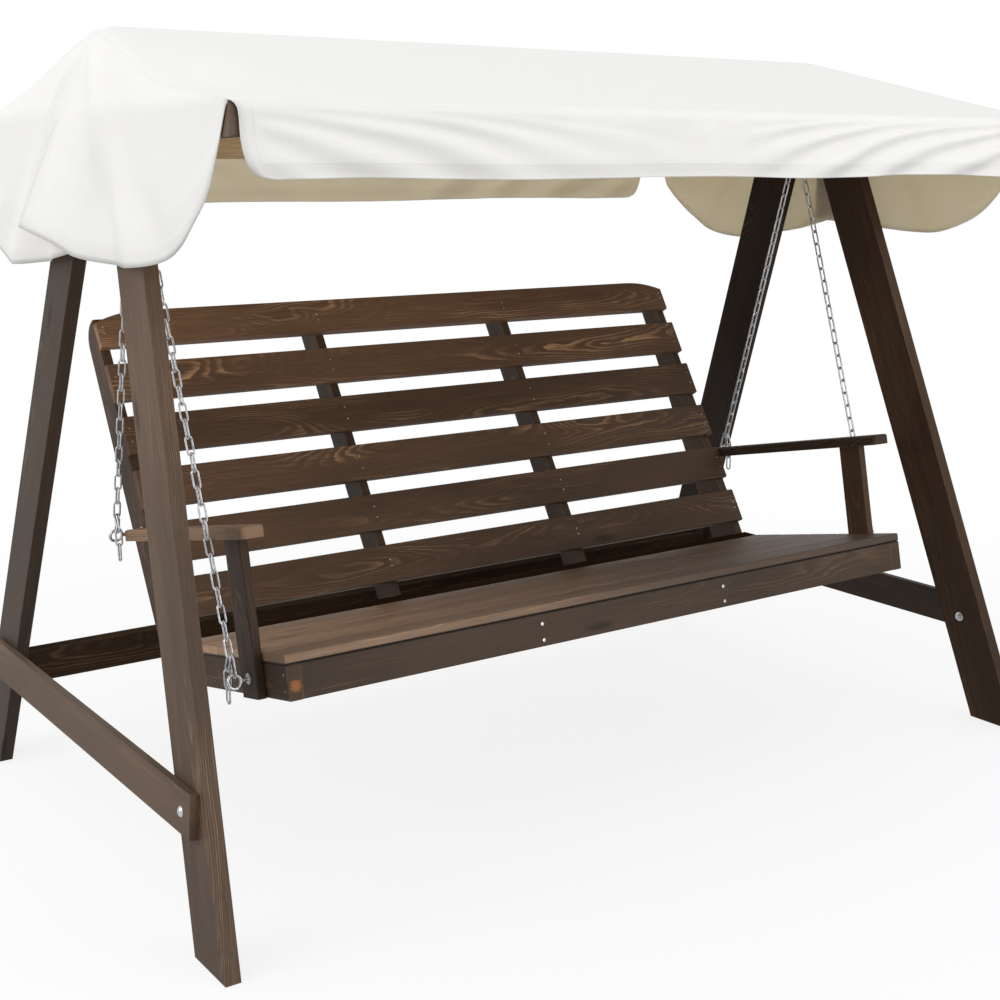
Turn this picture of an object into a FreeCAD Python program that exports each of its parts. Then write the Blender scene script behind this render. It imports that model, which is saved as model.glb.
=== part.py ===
import FreeCAD, Part
import math
import os
import Sketcher
from FreeCAD import Placement, Rotation, Vector

# Garden swing: two leaning A-frames, a bench on four chains, a cloth canopy.
# X runs along the bench, the front is towards -Y, Z is up from the ground, all in millimetres.

SIZES = (
    # standing frame
    ("bench_clearance", 235), ("frame_depth", 1338), ("splay_angle", 4.38),
    ("leg_width", 117), ("leg_thickness", 29), ("leg_top", 1569), ("leg_head", 93.3),
    ("brace_end", 38), ("brace_height", 82), ("brace_thickness", 18), ("brace_level", 215),
    ("brace_bolt_offset", 6.8),
    ("crossbeam_height", 72), ("crossbeam_thickness", 36), ("crossbeam_level", 210),
    ("crossbeam_overhang", 10),
    ("ridge_height", 110), ("ridge_thickness", 45), ("ridge_screw_spacing", 24), ("ridge_screw_length", 95),
    ("timber_round", 3),
    # canopy frame and cloth
    ("canopy_inset", 71), ("canopy_depth", 1306), ("canopy_rail_height", 53), ("canopy_rail_thickness", 29),
    ("canopy_arm_height", 53), ("canopy_arm_thickness", 29), ("canopy_fall", 182), ("canopy_drop", 27),
    ("roof_clearance", 26), ("roof_sag", 6), ("cloth_thickness", 2), ("cloth_play", 0.4),
    ("fold_chord", 118), ("fold_depth", 5),
    ("front_valance_height", 118), ("rear_valance_height", 150), ("valance_inset", 29), ("valance_round", 48),
    ("lobe_slit", 8), ("lobe_front_run", 65), ("lobe_front_drop", 132), ("lobe_bottom_drop", 256),
    ("lobe_bottom_run", 315), ("lobe_slit_drop", 226), ("lobe_arc_rise", 34),
    # hanging hardware
    ("hanger_offset", 64), ("hanger_setback", -8), ("hanger_fall", 117),
    ("eye_inner", 20), ("eye_wire", 6), ("eye_stem", 60),
    ("carabiner_inner", 20), ("carabiner_wire", 6), ("carabiner_straight", 30), ("carabiner_play", 0.8),
    ("chain_pitch", 32), ("chain_wire", 4), ("chain_inner", 9), ("link_play", 0.3),
    ("hook_inner", 13), ("hook_wire", 4), ("hook_least", 34), ("tail_tilt", 42),
    ("tail_play", 1.2), ("tail_links", 2),
    ("bolt_diameter", 8), ("bolt_play", 0.2), ("bore_overrun", 2),
    ("bolt_head", 20), ("bolt_head_height", 5), ("bolt_tail", 9),
    ("nut_width", 13), ("nut_height", 6.5), ("flange_width", 22), ("flange_height", 2),
    ("front_eye_reach", 48), ("front_eye_depth", 122), ("front_eye_level", -48),
    ("rear_eye_reach", 60), ("rear_eye_depth", 636), ("rear_eye_level", 230),
    # bench
    ("bench_front", 453.4), ("bench_height", 480.6), ("bench_tilt", 11.7),
    ("seat_width", 1642), ("seat_frame_depth", 527), ("rail_height", 67.6), ("rail_thickness", 29),
    ("bearer_spread", 494), ("board_width", 96.2), ("board_thickness", 18.4), ("board_gap", 1.2),
    ("board_count", 5), ("board_round", 4), ("strip_rise", 8),
    ("back_offset", 522.7), ("back_level", 43.4), ("back_recline", 19.525),
    ("slat_width", 88), ("slat_thickness", 18), ("slat_pitch", 125.4), ("slat_count", 6),
    ("slat_overhang", 1.5), ("slat_round", 3), ("top_slat_trim", 4),
    ("shoulder_run", 115), ("shoulder_drop", 24),
    ("stile_inset", 9), ("stile_thickness", 22), ("stile_foot", 72), ("stile_head", 58),
    ("stile_length", 700), ("stile_head_round", 46), ("stile_head_radius", 46.9),
    ("middle_stile_spread", 541), ("middle_stile_foot", 40), ("middle_stile_head", 64),
    ("post_thickness", 19), ("post_width", 67), ("post_offset", 92), ("armrest_level", 216),
    ("armrest_thickness", 23.5), ("armrest_width", 50), ("armrest_front", 31), ("armrest_rear", 620),
    ("armrest_round", 6), ("armrest_corner", 12),
)

# Sizes that follow from those: the stand from the bench that swings in it, the braces from the legs.
TIED = (
    ("frame_width", "dims.seat_width + 2*dims.bench_clearance"),
    ("leg_lean", "(dims.frame_depth/2 - dims.leg_head)/dims.leg_top"),
    ("canopy_level", "dims.leg_top - dims.canopy_fall"),
    ("roof_peak", "dims.leg_top + dims.roof_clearance"),
    ("hanger_height", "dims.leg_top - dims.hanger_fall"),
    ("foot_width", "dims.leg_width*sqrt(1 + ties.leg_lean^2)"),
    ("brace_bolt_level", "dims.brace_level + dims.brace_height/2"),
    ("brace_bolt_spread", "dims.frame_depth - ties.foot_width - 2*ties.leg_lean*ties.brace_bolt_level"
                          " - 2*dims.brace_bolt_offset"),
    ("brace_length", "ties.brace_bolt_spread + 2*dims.brace_end"),
    ("crossbeam_offset", "dims.frame_depth/2 - ties.foot_width - dims.crossbeam_overhang"
                         " - ties.leg_lean*(dims.crossbeam_level + dims.crossbeam_height/2)"),
    ("arm_bolt_spread", "dims.frame_depth - ties.foot_width"
                        " - 2*ties.leg_lean*(ties.canopy_level + dims.canopy_arm_height/2)"),
    ("canopy_length", "ties.frame_width - 2*dims.canopy_inset"),
    ("valance_length", "ties.canopy_length - 2*dims.valance_inset"),
    ("hanger_spread", "dims.seat_width + 2*dims.hanger_offset"),
    ("stile_spread", "dims.seat_width - 2*dims.stile_inset"),
)

doc = FreeCAD.newDocument("garden_swing")
sheet = doc.addObject("Spreadsheet::Sheet", "dims")
for row, (alias, amount) in enumerate(SIZES, start=1):
    sheet.set("A%d" % row, alias)
    sheet.set("B%d" % row, str(amount))
    sheet.setAlias("B%d" % row, alias)
doc.recompute()
ties = doc.addObject("Spreadsheet::Sheet", "ties")
for row, (alias, formula) in enumerate(TIED, start=1):
    ties.set("A%d" % row, alias)
    ties.set("B%d" % row, "=" + formula.replace("ties.", ""))
    ties.setAlias("B%d" % row, alias)
doc.recompute()

X_AXIS = Vector(1, 0, 0)
Y_AXIS = Vector(0, 1, 0)
Z_AXIS = Vector(0, 0, 1)
LEFT, RIGHT = -1, 1
FRONT, REAR = -1, 1
nodes = []


def size(alias):
    return number("%s.%s" % ("ties" if alias in dict(TIED) else "dims", alias))


def number(text):
    value = sheet.evalExpression(text)
    return float(getattr(value, "Value", value))


def shift(x, y, z):
    return Placement(Vector(x, y, z), Rotation())


def node(label, thing, place=None):
    thing.Label = label
    if place is not None:
        thing.Placement = place
    nodes.append(thing)
    return thing


def bind(thing, **sizes):
    for prop, text in sizes.items():
        thing.setExpression(prop, text)
    return thing


def along(edge, axis):
    first, last = edge.Vertexes[0].Point, edge.Vertexes[-1].Point
    return (last - first).cross(axis).Length < 1e-6


# A rectangular piece from its own corner, with its edges along one axis eased.
def plank(name, length, width, height, axis, radius):
    box = bind(doc.addObject("Part::Box", name + "_blank"), Length=length, Width=width, Height=height)
    doc.recompute()
    eased = doc.addObject("Part::Fillet", name + "_eased")
    eased.Base = box
    eased.Edges = [(i, radius, radius) for i, edge in enumerate(box.Shape.Edges, start=1)
                   if along(edge, axis)]
    return eased


# A closed outline with its corners bound to the sheet; a corner may carry the radius of the arc after it.
def outline(name, corners, place=None):
    sketch = doc.addObject("Sketcher::SketchObject", name + "_outline")
    points = [Vector(number(corner[0]), number(corner[1]), 0) for corner in corners]
    starts = []
    for i, corner in enumerate(corners):
        start, end = points[i], points[(i + 1) % len(points)]
        if len(corner) == 2:
            sketch.addGeometry(Part.LineSegment(start, end))
            starts.append((1, 2))
            continue
        radius = number(corner[2])
        half = (end - start) * 0.5
        normal = Vector(half.y, -half.x, 0).normalize()
        rise = abs(radius) - math.sqrt(radius * radius - half.Length ** 2)
        middle = start + half + normal * (rise if radius > 0 else -rise)
        arc = Part.Arc(start, middle, end)
        index = sketch.addGeometry(arc)
        forward = sketch.getPoint(index, 1).distanceToPoint(start) < 1e-6
        starts.append((1, 2) if forward else (2, 1))
    for i, (first, last) in enumerate(starts):
        following = (i + 1) % len(starts)
        sketch.addConstraint(Sketcher.Constraint("Coincident", i, last, following, starts[following][0]))
    for i, corner in enumerate(corners):
        for kind, text in (("DistanceX", corner[0]), ("DistanceY", corner[1])):
            here = sketch.addConstraint(Sketcher.Constraint(kind, -1, 1, i, starts[i][0], number(text)))
            if text != "0":
                sketch.setExpression("Constraints[%d]" % here, text)
        if len(corner) == 3:
            radius = abs(number(corner[2]))
            here = sketch.addConstraint(Sketcher.Constraint("Radius", i, radius))
            sketch.setExpression("Constraints[%d]" % here, "abs(%s)" % corner[2])
    if place is not None:
        sketch.Placement = place
    return sketch


def extrude(name, sketch, direction, length):
    solid = doc.addObject("Part::Extrusion", name)
    solid.Base = sketch
    solid.DirMode = "Custom"
    solid.Dir = direction
    solid.Solid = True
    return bind(solid, LengthFwd=length)


# A bolt hole of a depth along the place's +z, which runs over a little at both ends.
def drill(name, place, depth):
    bore = bind(doc.addObject("Part::Cylinder", name), Radius="dims.bolt_diameter/2 + dims.bolt_play",
                Height="%s + 2*dims.bore_overrun" % depth)
    bore.Placement = place.multiply(shift(0, 0, -size("bore_overrun")))
    return bore


def cut(name, base, tools):
    tool = tools[0]
    if len(tools) > 1:
        tool = doc.addObject("Part::Compound", name + "_bores")
        tool.Links = tools
    result = doc.addObject("Part::Cut", name)
    result.Base = base
    result.Tool = tool
    return result


def group(label, members):
    bundle = doc.addObject("Part::Compound", label)
    bundle.Links = members
    return node(label, bundle)


# Frames of reference

splay = math.radians(size("splay_angle"))
half_frame = size("frame_width") / 2
recline = math.radians(size("back_recline"))


# The plane of one A-frame: x points inwards through the timber, z up along the lean, from its outer face.
def aframe(side):
    upward = Vector(-side * math.sin(splay), 0, math.cos(splay))
    inward = Vector(-side * math.cos(splay), 0, -math.sin(splay))
    return Placement(Vector(side * half_frame, 0, 0), Rotation(inward, upward.cross(inward), upward, "XYZ"))


# A point of an A-frame at a world y, for pieces that lie along its inward normal.
def through(side, depth, y, level):
    turn = Placement(Vector(depth, -side * y, level), Rotation(Z_AXIS, X_AXIS))
    return aframe(side).multiply(turn)


# The bench frame: y runs back along the seat and z stands square to it, from the seat's front top edge.
bench = Placement(Vector(0, -size("bench_front"), size("bench_height")),
                  Rotation(X_AXIS, -size("bench_tilt")))
# The back frame: y points to the rear through the slats, z up along them, from the lowest slat's front edge.
back = bench.multiply(Placement(Vector(0, size("back_offset"), size("back_level")),
                                Rotation(X_AXIS, -size("back_recline"))))


def on_bench(x, depth, level):
    return bench.multiply(shift(x, depth, level))


# Bolts, nuts and eyes, each along its own +z from the face that it bears on

def dome_bolt(name, length, place):
    shank = bind(doc.addObject("Part::Cylinder", name + "_shank"), Radius="dims.bolt_diameter/2",
                 Height=length)
    radius = "((dims.bolt_head/2)^2 + dims.bolt_head_height^2)/(2*dims.bolt_head_height)"
    cap = bind(doc.addObject("Part::Sphere", name + "_cap"), Radius=radius,
               Angle1="asin(1 - dims.bolt_head_height/(%s))" % radius)
    cap.Placement = Placement(Vector(0, 0, number(radius) - size("bolt_head_height")), Rotation(X_AXIS, 180))
    bolt = doc.addObject("Part::Fuse", name)
    bolt.Base = shank
    bolt.Tool = cap
    bolt.Placement = place
    return bolt


def hex_screw(name, length, place):
    shank = bind(doc.addObject("Part::Cylinder", name + "_shank"), Radius="dims.bolt_diameter/2",
                 Height=length)
    head = bind(doc.addObject("Part::Prism", name + "_head"), Circumradius="dims.nut_width/sqrt(3)",
                Height="dims.nut_height")
    head.Polygon = 6
    head.Placement = shift(0, 0, -size("nut_height"))
    screw = doc.addObject("Part::Fuse", name)
    screw.Base = shank
    screw.Tool = head
    screw.Placement = place
    return screw


def flange_nut(name, place):
    flange = bind(doc.addObject("Part::Cylinder", name + "_flange"), Radius="dims.flange_width/2",
                  Height="dims.flange_height")
    body = bind(doc.addObject("Part::Prism", name + "_hexagon"), Circumradius="dims.nut_width/sqrt(3)",
                Height="dims.nut_height")
    body.Polygon = 6
    body.Placement = shift(0, 0, size("flange_height"))
    whole = doc.addObject("Part::Fuse", name + "_whole")
    whole.Base = flange
    whole.Tool = body
    nut = cut(name, whole, [drill(name + "_bore", shift(0, 0, 0), "dims.flange_height + dims.nut_height")])
    nut.Placement = place
    return nut


# An eye bolt with its ring centre at the origin and its stem along +z; the ring stands in the x-z plane.
def eye_bolt(name, stem, place):
    ring = bind(doc.addObject("Part::Torus", name + "_ring"), Radius1="(dims.eye_inner + dims.eye_wire)/2",
                Radius2="dims.eye_wire/2")
    ring.Placement = Placement(Vector(), Rotation(X_AXIS, 90))
    shank = bind(doc.addObject("Part::Cylinder", name + "_stem"), Radius="dims.bolt_diameter/2",
                 Height="%s - dims.eye_inner/2 - dims.eye_wire/2" % stem)
    shank.Placement = shift(0, 0, (size("eye_inner") + size("eye_wire")) / 2)
    eye = doc.addObject("Part::Fuse", name)
    eye.Base = ring
    eye.Tool = shank
    eye.Placement = place
    return eye


# An oval loop of round wire in its x-z plane, centred, with its length along z.
def oval(name, inner, wire, straight):
    pieces = []
    for end, turn in ((1, 0), (-1, 180)):
        bend = bind(doc.addObject("Part::Torus", "%s_bend%d" % (name, turn)),
                    Radius1="(%s + %s)/2" % (inner, wire), Radius2="%s/2" % wire)
        bend.Angle3 = 180
        bend.Placement = Placement(Vector(0, 0, end * number(straight) / 2),
                                   Rotation(X_AXIS, 90).multiply(Rotation(Z_AXIS, turn)))
        side = bind(doc.addObject("Part::Cylinder", "%s_side%d" % (name, turn)), Radius="%s/2" % wire,
                    Height=straight)
        side.Placement = shift(end * (number(inner) + number(wire)) / 2, 0, -number(straight) / 2)
        pieces += [bend, side]
    loop = doc.addObject("Part::MultiFuse", name)
    loop.Shapes = pieces
    loop.Refine = True
    return loop


# Legs, mitred in pairs on the middle plane and level at the feet

leg_corners = (
    ("dims.frame_depth/2 - ties.foot_width", "0"),
    ("dims.frame_depth/2", "0"),
    ("dims.leg_head", "dims.leg_top"),
    ("0", "dims.leg_top"),
    ("0", "(dims.frame_depth/2 - ties.foot_width)/ties.leg_lean"),
)
rise = math.cos(splay)
brace_bolt_level = size("brace_bolt_level")
brace_bolt_y = size("brace_bolt_spread") / 2
# The ridge beam's upper edges lie just under the cloth, which falls steeper to the rear and sags on the way.
ROOF_FALL = ("((ties.roof_peak - ties.canopy_level - dims.canopy_rail_height + dims.canopy_drop"
             " + 4*dims.roof_sag)*2/dims.canopy_depth)")
ridge_bottom = "ties.roof_peak - dims.ridge_thickness/2*%s - dims.cloth_play - dims.ridge_height" % ROOF_FALL
ridge_top = number(ridge_bottom) + size("ridge_height")
ridge_screw_level = (ridge_top - size("ridge_height") / 2) / rise
arm_bolt_y = size("arm_bolt_spread") / 2
arm_fall = size("canopy_drop") / (size("canopy_depth") - 2 * size("canopy_rail_thickness"))


ridge_screw_y = size("ridge_screw_spacing") / 2


def arm_bolt_level(end):
    middle = size("canopy_level") - size("canopy_drop") / 2 + size("canopy_arm_height") / 2
    return (middle - end * arm_bolt_y * arm_fall) / rise


def leg(label, side, end):
    upward = Vector(-side * math.sin(splay), 0, math.cos(splay))
    across = Vector(0, end, 0)
    place = Placement(Vector(side * half_frame, 0, 0), Rotation(across, upward, across.cross(upward), "XYZ"))
    blank = extrude(label + "_blank", outline(label, leg_corners, place), Vector(-side, 0, 0),
                    "dims.leg_thickness/cos(dims.splay_angle*1 deg)")
    bores = [drill(label + "_brace_bore", through(side, 0, end * brace_bolt_y, brace_bolt_level),
                   "dims.leg_thickness"),
             drill(label + "_ridge_bore", through(side, 0, end * ridge_screw_y, ridge_screw_level),
                   "dims.leg_thickness"),
             drill(label + "_arm_bore", through(side, 0, end * arm_bolt_y, arm_bolt_level(end)),
                   "dims.leg_thickness")]
    return node(label, cut(label, blank, bores))


for side, side_name in ((LEFT, "left"), (RIGHT, "right")):
    leg(side_name + "_front_leg", side, FRONT)
    leg(side_name + "_rear_leg", side, REAR)

# Side braces, flat on the legs' outer faces

for side, side_name in ((LEFT, "left"), (RIGHT, "right")):
    name = side_name + "_brace"
    blank = plank(name, "dims.brace_thickness", "ties.brace_length", "dims.brace_height", Y_AXIS,
                  size("timber_round"))
    bores = []
    for end in (FRONT, REAR):
        bore = Placement(Vector(0, size("brace_length") / 2 + end * brace_bolt_y, size("brace_height") / 2),
                         Rotation(Z_AXIS, X_AXIS))
        bores.append(drill("%s_bore%d" % (name, end), bore, "dims.brace_thickness"))
    corner = shift(-size("brace_thickness"), -size("brace_length") / 2, size("brace_level"))
    node(name, cut(name, blank, bores), aframe(side).multiply(corner))


# Beams between the A-frames, their ends cut to the splay

def beam(label, bottom, height, thickness, middle_y):
    inner = "ties.frame_width/2 - dims.leg_thickness/cos(dims.splay_angle*1 deg)"
    slope = "tan(dims.splay_angle*1 deg)"
    low = "%s - %s*(%s)" % (inner, slope, bottom)
    high = "%s - %s*(%s + %s)" % (inner, slope, bottom, height)
    corners = (("-(%s)" % low, bottom), (low, bottom), (high, "%s + %s" % (bottom, height)),
               ("-(%s)" % high, "%s + %s" % (bottom, height)))
    place = Placement(Vector(0, middle_y + number(thickness) / 2, 0),
                      Rotation(X_AXIS, Z_AXIS, Vector(0, -1, 0), "XYZ"))
    return extrude(label, outline(label, corners, place), Vector(0, -1, 0), thickness)


node("rear_crossbeam", beam("rear_crossbeam", "dims.crossbeam_level", "dims.crossbeam_height",
                            "dims.crossbeam_thickness",
                            size("crossbeam_offset") + size("crossbeam_thickness") / 2))

hanger_x = size("hanger_spread") / 2
hanger_y = size("hanger_setback")
bores = [drill("ridge_eye_bore%d" % side, shift(side * hanger_x, hanger_y, size("hanger_height")),
               "dims.eye_stem") for side in (LEFT, RIGHT)]
for side in (LEFT, RIGHT):
    for end in (FRONT, REAR):
        bores.append(drill("ridge_screw_bore%d%d" % (side, end),
                           through(side, 0, end * ridge_screw_y, ridge_screw_level),
                           "dims.ridge_screw_length"))
ridge = beam("ridge_blank", ridge_bottom, "dims.ridge_height", "dims.ridge_thickness", 0)
node("ridge_beam", cut("ridge_beam", ridge, bores))

# Canopy arms fall a little to the rear, and the rails cross their ends

arm_length = "dims.canopy_depth - 2*dims.canopy_rail_thickness"
for side, side_name in ((LEFT, "left"), (RIGHT, "right")):
    name = side_name + "_canopy_arm"
    front_x = "-(%s)/2" % arm_length if side == LEFT else "(%s)/2" % arm_length
    rear_x = "(%s)/2" % arm_length if side == LEFT else "-(%s)/2" % arm_length
    front_low = "ties.canopy_level/cos(dims.splay_angle*1 deg)"
    rear_low = "(ties.canopy_level - dims.canopy_drop)/cos(dims.splay_angle*1 deg)"
    corners = ((front_x, front_low), (rear_x, rear_low), (rear_x, rear_low + " + dims.canopy_arm_height"),
               (front_x, front_low + " + dims.canopy_arm_height"))
    flat = aframe(side).multiply(Placement(Vector(), Rotation(Y_AXIS, Z_AXIS, X_AXIS, "XYZ")))
    outward = aframe(side).Rotation.multVec(Vector(-1, 0, 0))
    blank = extrude(name + "_blank", outline(name, corners, flat), outward, "dims.canopy_arm_thickness")
    bores = [drill("%s_bore%d" % (name, end),
                   through(side, -size("canopy_arm_thickness"), end * arm_bolt_y, arm_bolt_level(end)),
                   "dims.canopy_arm_thickness") for end in (FRONT, REAR)]
    node(name, cut(name, blank, bores))

half_depth = size("canopy_depth") / 2
for end, end_name, drop in ((FRONT, "front", 0), (REAR, "rear", size("canopy_drop"))):
    name = end_name + "_canopy_rail"
    y = -half_depth if end == FRONT else half_depth - size("canopy_rail_thickness")
    node(name, plank(name, "ties.canopy_length", "dims.canopy_rail_thickness",
                     "dims.canopy_rail_height", X_AXIS, size("timber_round")),
         shift(-size("canopy_length") / 2, y, size("canopy_level") - drop))

# Bolts and nuts of the frame

brace_grip = "dims.brace_thickness + dims.leg_thickness + dims.flange_height + dims.bolt_tail"
arm_grip = "dims.canopy_arm_thickness + dims.leg_thickness + dims.flange_height + dims.bolt_tail"
bolts, arm_bolts, nuts, screws = [], [], [], []
for side in (LEFT, RIGHT):
    for end in (FRONT, REAR):
        tag = "%d%d" % (side, end)
        bolts.append(dome_bolt("brace_bolt" + tag, brace_grip,
                               through(side, -size("brace_thickness"), end * brace_bolt_y, brace_bolt_level)))
        nuts.append(flange_nut("brace_nut" + tag,
                               through(side, size("leg_thickness"), end * brace_bolt_y, brace_bolt_level)))
        arm_face = -size("canopy_arm_thickness")
        arm_bolts.append(dome_bolt("arm_bolt" + tag, arm_grip,
                                   through(side, arm_face, end * arm_bolt_y, arm_bolt_level(end))))
        nuts.append(flange_nut("arm_nut" + tag,
                               through(side, size("leg_thickness"), end * arm_bolt_y, arm_bolt_level(end))))
        screws.append(hex_screw("ridge_screw" + tag, "dims.ridge_screw_length",
                                through(side, 0, end * ridge_screw_y, ridge_screw_level)))
group("brace_bolts", bolts)
group("canopy_arm_bolts", arm_bolts)
group("frame_nuts", nuts)
group("ridge_screws", screws)
hangers = [shift(side * hanger_x, hanger_y, size("hanger_height")) for side in (LEFT, RIGHT)]
group("hanger_eye_bolts", [eye_bolt("hanger_eye%d" % i, "dims.eye_stem", place)
                           for i, place in enumerate(hangers)])

# Canopy cloth: a roof over the ridge and rails, and hanging panels with soft upright folds

cloth = size("cloth_thickness")
play = size("cloth_play")
front_eave = size("canopy_level") + size("canopy_rail_height")
rear_eave = front_eave - size("canopy_drop")
peak = size("roof_peak")
half_length = size("canopy_length") / 2 + play + cloth


def sagging(start, end, offset):
    across = Vector(0, -(end - start).z, (end - start).y).normalize()
    low = (start + end) * 0.5 + across * (offset - size("roof_sag"))
    return Part.Arc(start + across * offset, low, end + across * offset).toShape()


# The cloth's underside in the middle plane runs from the front rail's edge over the ridge to the rear rail's.
roof_line = [Vector(0, -half_depth - play, front_eave + play), Vector(0, 0, peak),
             Vector(0, half_depth + play, rear_eave + play)]
lower = [sagging(roof_line[0], roof_line[1], 0), sagging(roof_line[1], roof_line[2], 0)]
upper = [sagging(roof_line[0], roof_line[1], cloth), sagging(roof_line[1], roof_line[2], cloth)]
ends = [vertex.Point for edge in upper for vertex in edge.Vertexes]
crown = Part.makeLine(ends[1], ends[2])
band = Part.Wire(Part.__sortEdges__(lower + upper + [crown, Part.makeLine(roof_line[0], ends[0]),
                                                     Part.makeLine(roof_line[2], ends[3])]))
roof = doc.addObject("Part::Feature", "canopy_roof")
roof.Shape = Part.Face(band).extrude(Vector(2 * half_length, 0, 0))
node("canopy_roof", roof, shift(-half_length, 0, 0))


# A strip of cloth seen from above: arcs that bulge to and fro along x, with the cloth's thickness.
def folded_strip(length):
    count = max(2, round(length / size("fold_chord")))
    chord = length / count
    depth = size("fold_depth")
    radius = (chord * chord / 4 + depth * depth) / (2 * depth)
    edges = []
    for offset in (-cloth / 2, cloth / 2):
        for i in range(count):
            bulge = 1 if i % 2 else -1
            centre = Vector((i + 0.5) * chord, -bulge * (radius - depth), 0)
            reach = radius + bulge * offset
            points = [Vector(i * chord, 0, 0), centre + Vector(0, bulge * radius, 0),
                      Vector((i + 1) * chord, 0, 0)]
            arms = [centre + (point - centre).normalize() * reach for point in points]
            edges.append(Part.Arc(*arms).toShape())
    near, far = edges[:count], edges[count:]
    edges.append(Part.makeLine(near[0].Vertexes[0].Point, far[0].Vertexes[0].Point))
    edges.append(Part.makeLine(near[-1].Vertexes[1].Point, far[-1].Vertexes[1].Point))
    return Part.Face(Part.Wire(Part.__sortEdges__(edges)))


# A hanging panel is a folded strip drawn down from its top, within the outline of its edges.
def hanging(label, length, points, place, top=0):
    drop = top - min(point[1] for point in points)
    strip = folded_strip(length)
    strip.translate(Vector(0, 0, top))
    curtain = strip.extrude(Vector(0, 0, -drop))
    edges = []
    for index, point in enumerate(points):
        before, after = points[index - 1], points[(index + 1) % len(points)]
        if point[-1] == "arc":
            three = [Vector(spot[0], 0, spot[1]) for spot in (before, point, after)]
            edges.append(Part.Arc(*three).toShape())
        elif after[-1] != "arc":
            edges.append(Part.makeLine(Vector(point[0], 0, point[1]), Vector(after[0], 0, after[1])))
    reach = size("fold_depth") + cloth
    face = Part.Face(Part.Wire(edges))
    face.translate(Vector(0, -reach, 0))
    panel = doc.addObject("Part::Feature", label)
    panel.Shape = curtain.common(face.extrude(Vector(0, 2 * reach, 0)))
    node(label, panel, place)


stand_off = size("fold_depth") + cloth / 2 + play
length = size("valance_length")
corner = size("valance_round")
inset = corner * (1 - math.sqrt(0.5))
for end, end_name, eave in ((FRONT, "front", front_eave), (REAR, "rear", rear_eave)):
    drop = size(end_name + "_valance_height")
    points = [(0, 0), (0, corner - drop), (inset, inset - drop, "arc"), (corner, -drop),
              (length - corner, -drop), (length - inset, inset - drop, "arc"), (length, corner - drop),
              (length, 0)]
    place = shift(-length / 2, end * (half_depth + stand_off), eave - play)
    hanging(end_name + "_valance", length, points, place)

# An end lobe runs from the eave to the slit in the middle of the end, where it is highest.
run, drop = size("lobe_front_run"), size("lobe_front_drop")
low_run, low = size("lobe_bottom_run"), size("lobe_bottom_drop")
bulge = size("lobe_arc_rise") / 2
middle = ((run + low_run) / 2 - bulge, -(drop + low) / 2 - bulge, "arc")
length = half_depth - size("lobe_slit") / 2
for side, side_name in ((LEFT, "left"), (RIGHT, "right")):
    for end, end_name, eave in ((FRONT, "front", front_eave), (REAR, "rear", rear_eave)):
        top = length * (peak - eave) / half_depth
        points = [(0, 0), (run, -drop), middle, (low_run, -low), (length, -size("lobe_slit_drop")),
                  (length, top)]
        facing = Rotation(Vector(0, -end, 0), Vector(end, 0, 0), Z_AXIS, "XYZ")
        spot = Vector(side * (half_length + stand_off), end * half_depth, eave - play - size("roof_sag"))
        hanging("%s_%s_end_lobe" % (side_name, end_name), length, points, Placement(spot, facing), top)

# Seat frame: side rails cover the ends of the front and rear rails, bearers run between those

half_seat = size("seat_width") / 2
rail = size("rail_thickness")
rail_bottom = -size("board_thickness") - size("rail_height")
cross_length = "dims.seat_width - 2*dims.rail_thickness"
eye_spots = (("front", size("front_eye_depth"), size("front_eye_level")),
             ("rear", size("rear_eye_depth"), size("rear_eye_level")))
for name, depth in (("seat_front_rail", 0), ("seat_rear_rail", size("seat_frame_depth") - rail)):
    node(name, plank(name, cross_length, "dims.rail_thickness", "dims.rail_height", X_AXIS,
                     size("timber_round")),
         on_bench(-half_seat + rail, depth, rail_bottom))
for side, side_name in ((LEFT, "left"), (RIGHT, "right")):
    name = "seat_%s_rail" % side_name
    blank = plank(name, "dims.rail_thickness", "dims.seat_frame_depth", "dims.rail_height", Y_AXIS,
                  size("timber_round"))
    spot = Vector(0, size("front_eye_depth"), size("front_eye_level") - rail_bottom)
    bore = drill(name + "_bore", Placement(spot, Rotation(Z_AXIS, X_AXIS)), "dims.rail_thickness")
    x = half_seat - rail if side == RIGHT else -half_seat
    node(name, cut(name, blank, [bore]), on_bench(x, 0, rail_bottom))
    name = "seat_%s_bearer" % side_name
    x = side * size("bearer_spread") / 2 - rail / 2
    node(name, plank(name, "dims.rail_thickness", "dims.seat_frame_depth - 2*dims.rail_thickness",
                     "dims.rail_height", Y_AXIS, size("timber_round")), on_bench(x, rail, rail_bottom))

# Seat boards, and a wedge-shaped strip that closes the seat towards the back

board_step = size("board_width") + size("board_gap")
for i in range(int(size("board_count"))):
    name = "seat_board_%d" % (i + 1)
    node(name, plank(name, "dims.seat_width", "dims.board_width", "dims.board_thickness", X_AXIS,
                     size("board_round")),
         on_bench(-half_seat, i * board_step, -size("board_thickness")))
strip_front = "dims.board_count*(dims.board_width + dims.board_gap)"
strip_corners = ((strip_front, "-dims.board_thickness"), ("dims.seat_frame_depth", "-dims.board_thickness"),
                 ("dims.seat_frame_depth", "dims.strip_rise"), (strip_front, "0"))
upright = Rotation(Y_AXIS, Z_AXIS, X_AXIS, "XYZ")
strip_place = bench.multiply(Placement(Vector(-half_seat, 0, 0), upright))
strip_outline = outline("seat_rear_strip", strip_corners, strip_place)
node("seat_rear_strip", extrude("seat_rear_strip", strip_outline, X_AXIS, "dims.seat_width"))

# Stiles stand on the rear rail's back face and carry the slats on their leaning front edges

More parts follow.
